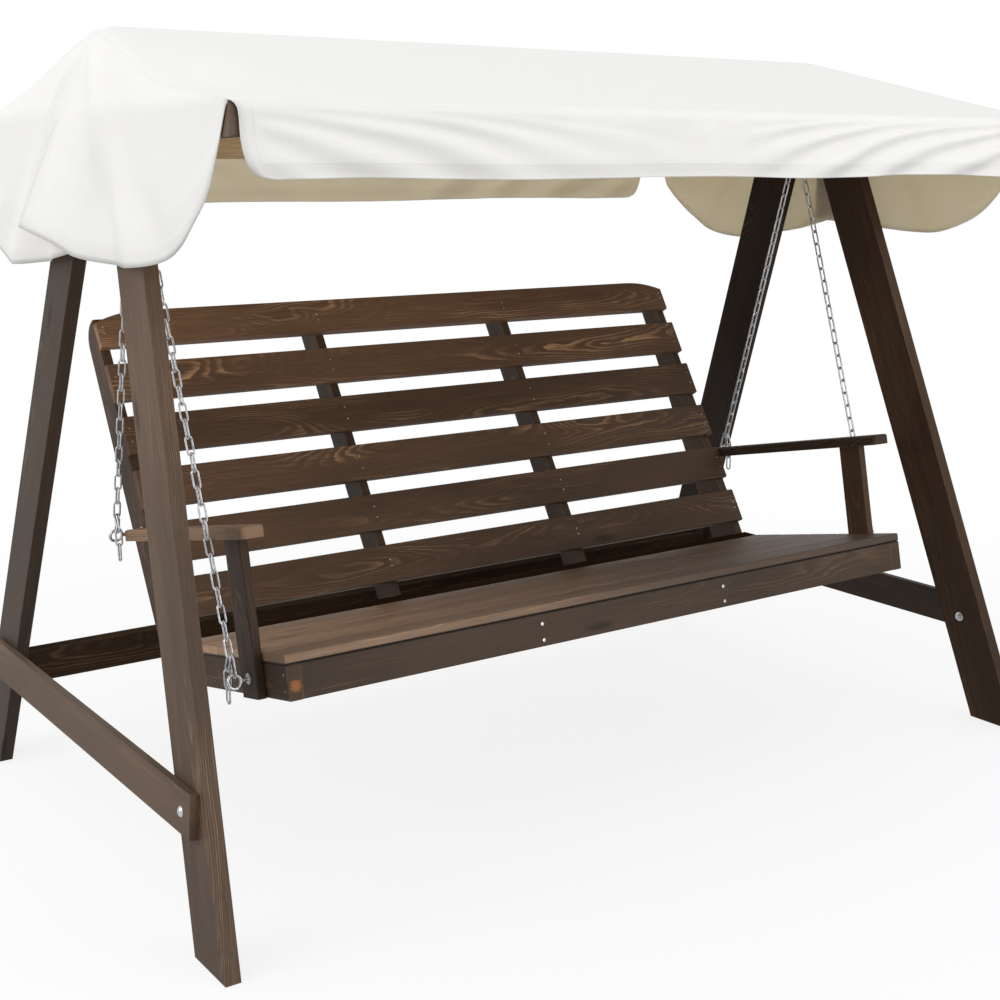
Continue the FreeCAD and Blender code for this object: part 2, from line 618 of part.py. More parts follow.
SLANT = "tan(dims.back_recline*1 deg)"
slat_rear = "dims.back_offset + dims.slat_thickness/cos(dims.back_recline*1 deg)"
heel = "-dims.board_thickness - dims.rail_height"
head_x = "%s + dims.stile_length*sin(dims.back_recline*1 deg)" % slat_rear
head_y = "dims.back_level + dims.stile_length*cos(dims.back_recline*1 deg)"
slat_line = "dims.back_level - (%s - dims.seat_frame_depth)/%s" % (slat_rear, SLANT)
FORE = "cos(dims.back_recline*1 deg)"
RISE = "sin(dims.back_recline*1 deg)"


# A stile's side view, from a foot of one depth to a head of another with its rear corner rounded.
def stile_corners(foot, head):
    rear = (head_x + " + %s*%s" % (head, FORE), head_y + " - %s*%s" % (head, RISE))
    fall = (rear[0] + " - dims.stile_head_round*" + RISE, rear[1] + " - dims.stile_head_round*" + FORE)
    crown = (rear[0] + " - dims.stile_head_round*" + FORE, rear[1] + " + dims.stile_head_round*" + RISE)
    return (("dims.seat_frame_depth", heel), ("dims.seat_frame_depth + " + foot, heel),
            fall + ("dims.stile_head_radius",), crown, (head_x, head_y), ("dims.seat_frame_depth", slat_line))


half_stile = size("stile_spread") / 2
for side, side_name in ((LEFT, "left"), (RIGHT, "right")):
    for place_name, prefix, middle in (("outer", "stile", half_stile - size("stile_thickness") / 2),
                                       ("middle", "middle_stile", size("middle_stile_spread") / 2)):
        name = "%s_%s_stile" % (side_name, place_name)
        x = side * middle - size("stile_thickness") / 2
        corners = stile_corners("dims.%s_foot" % prefix, "dims.%s_head" % prefix)
        place = bench.multiply(Placement(Vector(x, 0, 0), upright))
        blank = extrude(name + "_blank", outline(name, corners, place), X_AXIS, "dims.stile_thickness")
        if place_name == "outer":
            spot = Vector(x, size("rear_eye_depth"), size("rear_eye_level"))
            aim = bench.multiply(Placement(spot, Rotation(Z_AXIS, X_AXIS)))
            blank = cut(name, blank, [drill(name + "_bore", aim, "dims.stile_thickness")])
        node(name, blank)

# Back slats; the one beside the armrests ends flush with the stiles, and the top one has curved shoulders

slat_count = int(size("slat_count"))
armrest_slat = int((size("armrest_level") - size("back_level")) / math.cos(recline) // size("slat_pitch"))
for i in range(slat_count - 1):
    name = "back_slat_%d" % (i + 1)
    spare = 0 if i == armrest_slat else size("slat_overhang")
    length = "ties.stile_spread" if i == armrest_slat else "ties.stile_spread + 2*dims.slat_overhang"
    node(name, plank(name, length, "dims.slat_thickness", "dims.slat_width", X_AXIS, size("slat_round")),
         back.multiply(shift(-half_stile - spare, 0, i * size("slat_pitch"))))
slat_end = "(ties.stile_spread/2 + dims.slat_overhang)"
shoulder = "(dims.shoulder_run^2 + dims.shoulder_drop^2)/(2*dims.shoulder_drop)"
top_corners = (
    ("-%s" % slat_end, "dims.top_slat_trim"), (slat_end, "dims.top_slat_trim"),
    (slat_end, "dims.slat_width - dims.shoulder_drop", shoulder),
    ("%s - dims.shoulder_run" % slat_end, "dims.slat_width"),
    ("-%s + dims.shoulder_run" % slat_end, "dims.slat_width", shoulder),
    ("-%s" % slat_end, "dims.slat_width - dims.shoulder_drop"),
)
top_place = back.multiply(Placement(Vector(0, 0, (slat_count - 1) * size("slat_pitch")),
                                    Rotation(X_AXIS, Z_AXIS, Vector(0, -1, 0), "XYZ")))
rearward = back.Rotation.multVec(Y_AXIS)
node("back_top_slat", extrude("back_top_slat", outline("back_top_slat", top_corners, top_place), rearward,
                              "dims.slat_thickness"))

# Posts on the side rails and armrests from the posts to the stiles

for side, side_name in ((LEFT, "left"), (RIGHT, "right")):
    name = side_name + "_post"
    blank = plank(name, "dims.post_thickness", "dims.post_width",
                  "dims.armrest_level + dims.board_thickness + dims.rail_height", Z_AXIS,
                  size("timber_round"))
    spot = Vector(0, size("front_eye_depth") - size("post_offset"), size("front_eye_level") - rail_bottom)
    bore = drill(name + "_bore", Placement(spot, Rotation(Z_AXIS, X_AXIS)), "dims.post_thickness")
    x = half_seat if side == RIGHT else -half_seat - size("post_thickness")
    node(name, cut(name, blank, [bore]), on_bench(x, size("post_offset"), rail_bottom))
    name = side_name + "_armrest"
    board = bind(doc.addObject("Part::Box", name + "_blank"), Length="dims.armrest_width",
                 Width="dims.armrest_rear - dims.armrest_front", Height="dims.armrest_thickness")
    doc.recompute()
    corners = [i for i, edge in enumerate(board.Shape.Edges, start=1) if along(edge, Z_AXIS)]
    shaped = doc.addObject("Part::Fillet", name + "_shaped")
    shaped.Base = board
    shaped.Edges = [(i, size("armrest_corner"), size("armrest_corner")) for i in corners]
    doc.recompute()
    rims = [i for i, edge in enumerate(shaped.Shape.Edges, start=1)
            if abs(edge.BoundBox.ZMax - edge.BoundBox.ZMin) < 1e-6 and edge.BoundBox.ZMin > 1e-6]
    rounded = doc.addObject("Part::Fillet", name)
    rounded.Base = shaped
    rounded.Edges = [(i, size("armrest_round"), size("armrest_round")) for i in rims]
    x = half_stile if side == RIGHT else -half_stile - size("armrest_width")
    node(name, rounded, on_bench(x, size("armrest_front"), size("armrest_level")))

# Chains: each runs straight from the top carabiner's lower bend to the ring of its eye bolt

wire = size("chain_wire")
link_play = size("link_play")
inner_length = size("chain_pitch") + link_play
link_bend = size("chain_inner") / 2
link = oval("chain_link", "dims.chain_inner", "dims.chain_wire",
            "dims.chain_pitch + dims.link_play - dims.chain_inner")
top_loop = oval("top_loop", "dims.carabiner_inner", "dims.carabiner_wire", "dims.carabiner_straight")
doc.recompute()

top_bend = (size("carabiner_inner") + size("carabiner_wire")) / 2
hang_gap = size("eye_inner") / 2 - size("carabiner_wire") / 2 - size("carabiner_play")
loop_centre = size("hanger_height") - hang_gap - top_bend - size("carabiner_straight") / 2
fork_z = loop_centre - size("carabiner_straight") / 2
first_wire = size("carabiner_inner") / 2 - wire / 2 - link_play
pair_offset = (wire + size("hook_wire")) / 4 + link_play / 2
snug = link_bend - max(wire, size("hook_wire")) / 2 - link_play
pair_depth = math.sqrt(max(snug * snug - pair_offset * pair_offset, 0))
ring_wire = math.sqrt((size("eye_inner") / 2) ** 2 - (pair_offset + size("hook_wire") / 4) ** 2)
ring_wire -= size("hook_wire") / 2 + link_play


def placed(master, centre, length_axis, flat_axis):
    turn = Rotation(flat_axis, length_axis.cross(flat_axis), length_axis, "XYZ")
    copy = master.Shape.copy()
    copy.Placement = Placement(centre, turn).multiply(master.Placement)
    return copy


loops = []
for side in (LEFT, RIGHT):
    loops.append(placed(top_loop, Vector(side * hanger_x, hanger_y, loop_centre), Z_AXIS, Y_AXIS))
carabiners = doc.addObject("Part::Feature", "top_carabiners")
carabiners.Shape = Part.makeCompound(loops)
node("top_carabiners", carabiners)

hooks = []
for end_name, depth, level in eye_spots:
    reach = size(end_name + "_eye_reach")
    for side, side_name in ((LEFT, "left"), (RIGHT, "right")):
        fork = Vector(side * hanger_x, hanger_y, fork_z)
        face = half_seat if end_name == "front" else half_stile
        ring = bench.multVec(Vector(side * (face + reach), depth, level))
        down = (ring - fork).normalize()
        flat = (X_AXIS - down * X_AXIS.dot(down)).normalize()
        fore = down.cross(flat)
        fixed = first_wire + wire / 2 + inner_length + pair_depth - link_bend + ring_wire
        spare = (ring - fork).Length - fixed - size("hook_least")
        count = 1 + 2 * int(spare / (2 * size("chain_pitch")))
        links = []
        for i in range(count):
            centre = fork + down * (first_wire + (wire + inner_length) / 2 + i * size("chain_pitch"))
            links.append(placed(link, centre, down, fore if i % 2 else flat))
        # The last link holds the lower carabiner and, beside it, the loose tail.
        last_bend = centre + down * (inner_length / 2 - link_bend)
        bend = last_bend + down * pair_depth
        hook_length = (ring - fork).Length - fixed - (count - 1) * size("chain_pitch")
        hook_centre = bend + down * (hook_length / 2) - flat * (side * pair_offset)
        hooks.append((end_name, hook_length, hook_centre, down, fore))
        swing_out = Rotation(flat, size("tail_tilt") if end_name == "front" else -size("tail_tilt"))
        slack = swing_out.multVec(down)
        held = math.sqrt((link_bend + wire / 2) ** 2 - pair_offset ** 2)
        held_at = last_bend + down * held + flat * (side * pair_offset)
        centre = held_at + slack * ((inner_length - wire) / 2 - size("tail_play"))
        links.append(placed(link, centre, slack, slack.cross(flat)))
        bend = centre + slack * (inner_length / 2 - link_bend)
        hang = Vector(0, 0, -1)
        centre = bend + hang * (link_bend - wire / 2 - link_play + (inner_length + wire) / 2)
        for i in range(int(size("tail_links"))):
            links.append(placed(link, centre, hang, flat if i % 2 == 0 else hang.cross(flat)))
            centre = centre + hang * size("chain_pitch")
        chain = doc.addObject("Part::Feature", "%s_%s_chain" % (side_name, end_name))
        chain.Shape = Part.makeCompound(links)
        node("%s_%s_chain" % (side_name, end_name), chain)
        print(side_name, end_name, "chain", count, "links, hook length", round(hook_length, 1))

loops = []
masters = {}
for end_name, hook_length, centre, down, fore in hooks:
    if end_name not in masters:
        straight = hook_length - size("hook_inner") - size("hook_wire")
        masters[end_name] = oval(end_name + "_hook", "dims.hook_inner", "dims.hook_wire", "%.4f" % straight)
        doc.recompute()
    loops.append(placed(masters[end_name], centre, down, fore))
lower = doc.addObject("Part::Feature", "chain_hooks")
lower.Shape = Part.makeCompound(loops)
node("chain_hooks", lower)

# Eye bolts through post and rail at the front and through the stile at the rear, ring along the chain

washers, bench_nuts = [], []
for end_name, depth, level in eye_spots:
    eyes = []
    reach = size(end_name + "_eye_reach")
    seat_face = half_seat + size("post_thickness") if end_name == "front" else half_stile
    inner_face = half_seat - rail if end_name == "front" else half_stile - size("stile_thickness")
    ring_x = half_seat + reach if end_name == "front" else half_stile + reach
    stem = ring_x - inner_face + size("flange_height") + size("bolt_tail")
    for side in (LEFT, RIGHT):
        ring = bench.multVec(Vector(side * ring_x, depth, level))
        fork = Vector(side * hanger_x, hanger_y, fork_z)
        inward = Vector(-side, 0, 0)
        pull = fork - ring
        pull.x = 0
        pull.normalize()
        turn = Rotation(pull, inward.cross(pull), inward, "XYZ")
        alias = "%s_eye" % end_name
        face = "dims.seat_width/2 - dims.rail_thickness" if end_name == "front" else (
            "ties.stile_spread/2 - dims.stile_thickness")
        outer = "dims.seat_width/2" if end_name == "front" else "ties.stile_spread/2"
        length = "%s + dims.%s_reach - (%s) + dims.flange_height + dims.bolt_tail" % (outer, alias, face)
        eyes.append(eye_bolt("%s%d" % (alias, side), length, Placement(ring, turn)))
        seat = bench.multVec(Vector(side * seat_face, depth, level))
        disc = bind(doc.addObject("Part::Cylinder", "%s_disc%d" % (alias, side)),
                    Radius="dims.flange_width/2", Height="dims.flange_height")
        washer = cut("%s_washer%d" % (alias, side), disc,
                     [drill("%s_washer_bore%d" % (alias, side), shift(0, 0, 0), "dims.flange_height")])
        washer.Placement = Placement(seat, Rotation(Z_AXIS, Vector(side, 0, 0)))
        washers.append(washer)
        inside = bench.multVec(Vector(side * inner_face, depth, level))
        bench_nuts.append(flange_nut("%s_nut%d" % (alias, side), Placement(inside, Rotation(Z_AXIS, inward))))
    group("%s_eye_bolts" % end_name, eyes)
group("eye_bolt_washers", washers)
group("eye_bolt_nuts", bench_nuts)

doc.recompute()
for thing in doc.Objects:
    if "Invalid" in thing.State or "Error" in thing.State:
        raise RuntimeError("failed: " + thing.Label)
for thing in nodes:
    if thing.Shape.isNull() or not thing.Shape.isValid():
        raise RuntimeError("bad shape: " + thing.Label)

os.makedirs("parts", exist_ok=True)
for thing in nodes:
    thing.Shape.exportStep("parts/%s.step" % thing.Label)
print(len(nodes), "pieces written")
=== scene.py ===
import math

import bmesh
import bpy
from mathutils import Matrix, Vector, noise


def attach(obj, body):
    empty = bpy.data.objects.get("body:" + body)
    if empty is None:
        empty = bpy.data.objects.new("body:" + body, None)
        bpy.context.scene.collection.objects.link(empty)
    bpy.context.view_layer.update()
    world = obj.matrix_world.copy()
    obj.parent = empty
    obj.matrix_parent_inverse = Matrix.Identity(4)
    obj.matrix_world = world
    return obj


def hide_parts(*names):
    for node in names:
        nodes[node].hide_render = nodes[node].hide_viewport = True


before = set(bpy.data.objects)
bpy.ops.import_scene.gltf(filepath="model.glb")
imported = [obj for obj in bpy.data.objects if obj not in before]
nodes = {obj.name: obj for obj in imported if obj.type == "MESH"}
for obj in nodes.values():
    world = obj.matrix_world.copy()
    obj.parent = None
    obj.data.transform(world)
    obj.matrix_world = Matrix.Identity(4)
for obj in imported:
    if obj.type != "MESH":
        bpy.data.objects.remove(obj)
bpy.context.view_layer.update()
print("frame loaded,", len(nodes), "pieces")


# Node helpers

def setInput(tree, socket, value):
    if isinstance(value, bpy.types.NodeSocket):
        tree.links.new(value, socket)
    else:
        socket.default_value = value


def addNode(tree, kind, **inputs):
    made = tree.nodes.new(kind)
    for name, value in inputs.items():
        setInput(tree, made.inputs[name], value)
    return made


def calc(tree, operation, first, second=0.0, third=0.0, clamp=False):
    made = tree.nodes.new("ShaderNodeMath")
    made.operation = operation
    made.use_clamp = clamp
    for socket, value in zip(made.inputs, (first, second, third)):
        setInput(tree, socket, value)
    return made.outputs[0]


def vectorCalc(tree, operation, first, second):
    made = tree.nodes.new("ShaderNodeVectorMath")
    made.operation = operation
    setInput(tree, made.inputs[0], first)
    setInput(tree, made.inputs[1], second)
    return made.outputs


def stretched(tree, vector, scale):
    return vectorCalc(tree, "MULTIPLY", vector, scale)["Vector"]


def along(tree, vector, direction):
    return vectorCalc(tree, "DOT_PRODUCT", vector, direction)["Value"]


def mixColor(tree, factor, first, second, blend="MIX"):
    made = tree.nodes.new("ShaderNodeMix")
    made.data_type = "RGBA"
    made.blend_type = blend
    setInput(tree, made.inputs[0], factor)
    setInput(tree, made.inputs[6], first)
    setInput(tree, made.inputs[7], second)
    return made.outputs[2]


def greyOf(tree, value):
    return addNode(tree, "ShaderNodeCombineColor", Red=value, Green=value, Blue=value).outputs[0]


def noiseAt(tree, vector, scale, detail=2.0, rough=0.5):
    made = addNode(tree, "ShaderNodeTexNoise", Vector=vector, Scale=scale, Detail=detail, Roughness=rough)
    return made.outputs["Fac"]


def remap(tree, value, fromLow, fromHigh, toLow, toHigh, eased=False):
    made = tree.nodes.new("ShaderNodeMapRange")
    if eased:
        made.interpolation_type = "SMOOTHSTEP"
    for socket, item in zip(made.inputs, (value, fromLow, fromHigh, toLow, toHigh)):
        setInput(tree, socket, item)
    return made.outputs[0]


def addBump(tree, shader, height, strength, distance):
    bump = addNode(tree, "ShaderNodeBump", Height=height, Strength=strength, Distance=distance)
    tree.links.new(bump.outputs[0], shader.inputs["Normal"])


def newGroup(name, inputs, outputs):
    group = bpy.data.node_groups.new(name, "ShaderNodeTree")
    for label, kind in inputs.items():
        group.interface.new_socket(label, in_out="INPUT", socket_type="NodeSocket" + kind)
    for label, kind in outputs.items():
        group.interface.new_socket(label, in_out="OUTPUT", socket_type="NodeSocket" + kind)
    return group, group.nodes.new("NodeGroupInput").outputs, group.nodes.new("NodeGroupOutput").inputs


def placeGroup(tree, group, values):
    made = tree.nodes.new("ShaderNodeGroup")
    made.node_tree = group
    for name, value in values.items():
        setInput(tree, made.inputs[name], value)
    return made.outputs


def newMaterial(name):
    material = bpy.data.materials.new(name)
    material.use_nodes = True
    return material, material.node_tree, material.node_tree.nodes["Principled BSDF"]


# Stained pine: growth rings round a pith that runs a little askew behind each board

def buildStainedGrain():
    tree, given, result = newGroup(
        "stainedGrain",
        {"Vector": "Vector", "Board": "Float", "Ring Width": "Float", "Pith Depth": "Float",
         "Painted Lit End": "Float", "Figure": "Float", "Stain": "Color", "Line": "Color"},
        {"Color": "Color", "Roughness": "Float", "Height": "Float"})
    board = given["Board"]
    # every board is cut from its own place in the pattern
    apart = addNode(tree, "ShaderNodeCombineXYZ", X=calc(tree, "MULTIPLY", board, 37.0),
                    Y=calc(tree, "MULTIPLY", board, 11.0), Z=calc(tree, "MULTIPLY", board, 23.0))
    here = vectorCalc(tree, "ADD", given["Vector"], apart.outputs[0])["Vector"]
    split = addNode(tree, "ShaderNodeSeparateXYZ", Vector=given["Vector"]).outputs
    # a slow bend of the trunk, and a finer waver of the rings
    bend = calc(tree, "SUBTRACT", noiseAt(tree, stretched(tree, here, (1.3, 4.0, 4.0)), 1.0, 1.0), 0.5)
    waver = calc(tree, "SUBTRACT", noiseAt(tree, stretched(tree, here, (8.0, 34.0, 34.0)), 1.0, 3.0), 0.5)
    side = calc(tree, "SUBTRACT", calc(tree, "FRACT", calc(tree, "MULTIPLY", board, 71.3)), 0.5)
    askew = calc(tree, "SUBTRACT", calc(tree, "FRACT", calc(tree, "MULTIPLY", board, 29.7)), 0.5)
    across = calc(tree, "ADD", split[1], calc(tree, "MULTIPLY", side, 0.07))
    across = calc(tree, "MULTIPLY_ADD", bend, 0.16, across)
    depth = calc(tree, "ADD", split[2], given["Pith Depth"])
    depth = calc(tree, "MULTIPLY_ADD", calc(tree, "MULTIPLY", split[0], askew), 0.07, depth)
    depth = calc(tree, "MULTIPLY_ADD", bend, 0.12, depth)
    radius = calc(tree, "SQRT", calc(tree, "ADD", calc(tree, "MULTIPLY", across, across),
                                     calc(tree, "MULTIPLY", depth, depth)))
    radius = calc(tree, "MULTIPLY_ADD", waver, 0.010, radius)
    # rings part round a knot
    knot = addNode(tree, "ShaderNodeTexVoronoi", Vector=stretched(tree, here, (2.4, 10.0, 10.0)), Scale=1.0)
    knot = knot.outputs["Distance"]
    swirl = remap(tree, knot, 0.0, 0.42, 1.0, 0.0, True)
    radius = calc(tree, "MULTIPLY_ADD", swirl, 0.022, radius)
    years = calc(tree, "DIVIDE", radius, given["Ring Width"])
    ring = calc(tree, "FRACT", years)
    # late wood takes less stain, so it stands out as a paler line with one sharp side
    line = calc(tree, "MULTIPLY", remap(tree, ring, 0.30, 0.86, 0.0, 1.0, True),
                remap(tree, ring, 0.88, 1.0, 1.0, 0.0, True))
    # some years show more than others, and the stain hides the rings in patches
    year = tree.nodes.new("ShaderNodeTexWhiteNoise")
    year.noise_dimensions = "1D"
    whichYear = calc(tree, "MULTIPLY_ADD", board, 90.0, calc(tree, "FLOOR", years))
    tree.links.new(whichYear, year.inputs["W"])
    line = calc(tree, "MULTIPLY", line, remap(tree, year.outputs["Value"], 0.0, 1.0, 0.15, 1.0))
    fade = noiseAt(tree, stretched(tree, here, (2.2, 13.0, 13.0)), 1.0, 3.0)
    line = calc(tree, "MULTIPLY", line, remap(tree, fade, 0.45, 0.70, 0.05, 1.0, True))
    fibre = noiseAt(tree, stretched(tree, here, (9.0, 520.0, 520.0)), 1.0, 3.0, 0.6)
    line = calc(tree, "MULTIPLY", line, remap(tree, fibre, 0.34, 0.60, 0.30, 1.0))
    pore = noiseAt(tree, stretched(tree, here, (26.0, 1500.0, 1500.0)), 1.0, 1.0)
    pore = remap(tree, pore, 0.6, 0.72, 0.0, 1.0)
    blotch = noiseAt(tree, stretched(tree, here, (1.6, 7.0, 7.0)), 1.0, 3.0)
    tone = mixColor(tree, calc(tree, "MULTIPLY", line, given["Figure"]), given["Stain"], given["Line"])
    # fibres, blotches, the board's own depth of stain, pores, painted light that lightens one end of a board
    # (painted shade that darkens it where the number is below zero) and dark knots
    paintedEndLight = calc(tree, "MULTIPLY_ADD", remap(tree, split[0], -0.8, 0.2, 1.0, 0.0), given["Painted Lit End"], 1.0)
    shade = remap(tree, fibre, 0.25, 0.75, 0.76, 1.24)
    for part in (remap(tree, blotch, 0.3, 0.7, 0.78, 1.25), remap(tree, board, 0.0, 1.0, 0.86, 1.14),
                 remap(tree, pore, 0.0, 1.0, 1.0, 0.72), paintedEndLight, remap(tree, knot, 0.05, 0.11, 0.45, 1.0)):
        shade = calc(tree, "MULTIPLY", shade, part)
    tree.links.new(mixColor(tree, 1.0, tone, greyOf(tree, shade), "MULTIPLY"), result["Color"])
    rough = calc(tree, "MULTIPLY_ADD", fibre, 0.16, 0.50)
    tree.links.new(calc(tree, "MULTIPLY_ADD", line, -0.06, rough), result["Roughness"])
    height = calc(tree, "MULTIPLY_ADD", line, 0.5, calc(tree, "MULTIPLY", fibre, 0.5))
    tree.links.new(calc(tree, "MULTIPLY_ADD", pore, -0.4, height), result["Height"])
    return tree


# Corners where the stain is thinned by wear, with painted highlight: the pale corner line also stands in for
# light glinting on the rounded edges

def buildEdgeWearAndHighlight():
    tree, given, result = newGroup("edgeWearAndHighlight", {"Vector": "Vector", "Width": "Float"}, {"Mask": "Float"})
    bevel = addNode(tree, "ShaderNodeBevel", Radius=given["Width"])
    bevel.samples = 4
    normal = tree.nodes.new("ShaderNodeNewGeometry").outputs["True Normal"]
    edge = remap(tree, along(tree, bevel.outputs[0], normal), 0.82, 0.99, 1.0, 0.0)
    patchy = remap(tree, noiseAt(tree, given["Vector"], 22.0, 3.0), 0.4, 0.62, 0.15, 1.0)
    tree.links.new(calc(tree, "MULTIPLY", edge, patchy, clamp=True), result["Mask"])
    return tree


stainedGrain = buildStainedGrain()
edgeWearAndHighlight = buildEdgeWearAndHighlight()

# Directions of the bench and the legs, as they lean at rest

tilt = math.radians(11.7)
backTurn = math.radians(19.525)
recline = tilt + backTurn
lean = math.atan(0.367)
splay = math.radians(4.38)
seatUp = Vector((0.0, math.sin(tilt), math.cos(tilt)))
seatBack = Vector((0.0, math.cos(tilt), -math.sin(tilt)))
slatFront = Vector((0.0, -math.cos(recline), math.sin(recline)))
slatUp = Vector((0.0, math.sin(recline), math.cos(recline)))
legUp = Vector((-math.sin(splay), -math.sin(lean), math.cos(lean) * math.cos(splay)))
toRight, toBack, toFront = Vector((1, 0, 0)), Vector((0, 1, 0)), Vector((0, -1, 0))

# where the seat boards lie on their frame
railPoints = [vertex.co for vertex in nodes["seat_front_rail"].data.vertices]
seatJoint = {"height": max(point.dot(seatUp) for point in railPoints),
             "front": min(point.dot(seatBack) for point in railPoints),
             "end": max(vertex.co.x for vertex in nodes["seat_board_1"].data.vertices)}

wood = {
    "stain": (0.066, 0.0365, 0.0205, 1.0),
    "line": (0.30, 0.175, 0.090, 1.0),
    "weathered": (0.088, 0.064, 0.047, 1.0),
    "weatheredLine": 2.2,
    "bare": (0.50, 0.37, 0.215, 1.0),
    "bareLine": 0.7,
    "ringWidth": 0.0042,
    "wornAndHighlight": (0.19, 0.130, 0.085, 1.0),
    "wearAndHighlightWidth": 0.004,
    "wearAndHighlightAmount": 0.55,
    "scuff": (0.34, 0.125, 0.035, 1.0),
    "scuffSpot": (-0.806, -0.4665, 0.4235),
    "scuffSize": 0.014,
    "scuffEdge": 0.007,
    "scuffRagged": 0.014,
    "seamShadow": (0.012, 0.009, 0.007, 1.0),
    "seam": 0.0045,
    "seamReach": (0.002, 0.006),
    "gloss": 0.2,
    "figure": 0.7,
    "bump": 0.22,
    "bumpDepth": 0.0006,
    "firstSeed": 0.37,
    "seedStep": 0.618,
}


def woodColors(kind, tone):
    grey, bare = Vector(wood["weathered"][:3]), Vector(wood["bare"][:3])
    weathered, stripped = kind["weathered"], kind.get("bare", 0.0)
    stain = Vector(wood["stain"][:3]).lerp(grey, weathered).lerp(bare, stripped) * tone
    line = Vector(wood["line"][:3]).lerp(grey * wood["weatheredLine"], weathered)
    line = line.lerp(bare * wood["bareLine"], stripped) * tone
    return (*stain, 1.0), (*line, 1.0)


def scuffMask(tree, spot):
    away = vectorCalc(tree, "DISTANCE", spot, wood["scuffSpot"])["Value"]
    ragged = calc(tree, "MULTIPLY_ADD", noiseAt(tree, spot, 190.0, 4.0), wood["scuffRagged"], away)
    return remap(tree, ragged, wood["scuffSize"], wood["scuffSize"] + wood["scuffEdge"], 0.8, 0.0)


# painted shadow: a dark band along the joint under the seat boards, at the front and at the ends
def seamShadowMask(tree, spot):
    near, far = wood["seamReach"]
    height = calc(tree, "ABSOLUTE", calc(tree, "SUBTRACT", along(tree, spot, seatUp), seatJoint["height"]))
    front = seatJoint["front"]
    front = remap(tree, along(tree, spot, seatBack), front + near, front + far, 1.0, 0.0)
    end = seatJoint["end"]
    ends = remap(tree, calc(tree, "ABSOLUTE", along(tree, spot, toRight)), end - far, end - near, 0.0, 1.0)
    seamShadow = remap(tree, height, 0.3 * wood["seam"], wood["seam"], 0.9, 0.0)
    return calc(tree, "MULTIPLY", seamShadow, calc(tree, "MAXIMUM", front, ends))


def stainedWood(name, middle, seed, tone, kind):
    material, tree, shader = newMaterial(name)
    spot = tree.nodes.new("ShaderNodeTexCoord").outputs["Object"]
    grain = kind["grain"].normalized()
    if kind.get("mirrored"):    # the four legs are each other's mirror pictures
        grain = Vector((math.copysign(grain.x, -middle.x), math.copysign(grain.y, -middle.y), grain.z))
    face = kind["face"]
    face = (face - grain * face.dot(grain)).normalized()
    # the pattern is turned along the grain and centred on the board
    turn = Matrix((grain, face.cross(grain), face))
    mapping = addNode(tree, "ShaderNodeMapping", Vector=spot, Rotation=turn.to_euler(),
                      Location=-(turn @ middle))
    stain, line = woodColors(kind, tone)
    # the painted lit end is painted light along the board: above zero it lightens one end, below zero it
    # darkens that end as painted shade
    looks = placeGroup(tree, stainedGrain, {
        "Vector": mapping.outputs[0], "Board": seed, "Ring Width": wood["ringWidth"],
        "Pith Depth": kind["pith"], "Painted Lit End": kind.get("paintedLitEnd", 0.0),
        "Figure": kind.get("figure", wood["figure"]), "Stain": stain, "Line": line})
    # pale corners: partly wear of the stain, partly painted highlight
    wearAndHighlight = placeGroup(tree, edgeWearAndHighlight, {"Vector": mapping.outputs[0], "Width": wood["wearAndHighlightWidth"]})
    wornAndHighlight = calc(tree, "MULTIPLY", wearAndHighlight["Mask"], wood["wearAndHighlightAmount"])
    color = mixColor(tree, wornAndHighlight, looks["Color"], wood["wornAndHighlight"])
    if kind.get("scuffed"):    # a bare spot on the left front corner of the seat frame
        color = mixColor(tree, scuffMask(tree, spot), color, wood["scuff"])
    if kind.get("seamShadowed"):    # painted shadow: a dark band in the joint under the seat boards, at the front and the ends
        color = mixColor(tree, seamShadowMask(tree, spot), color, wood["seamShadow"])
    tree.links.new(color, shader.inputs["Base Color"])
    tree.links.new(looks["Roughness"], shader.inputs["Roughness"])
    shader.inputs["Specular IOR Level"].default_value = kind.get("gloss", wood["gloss"])
    addBump(tree, shader, looks["Height"], wood["bump"], wood["bumpDepth"])
    return material
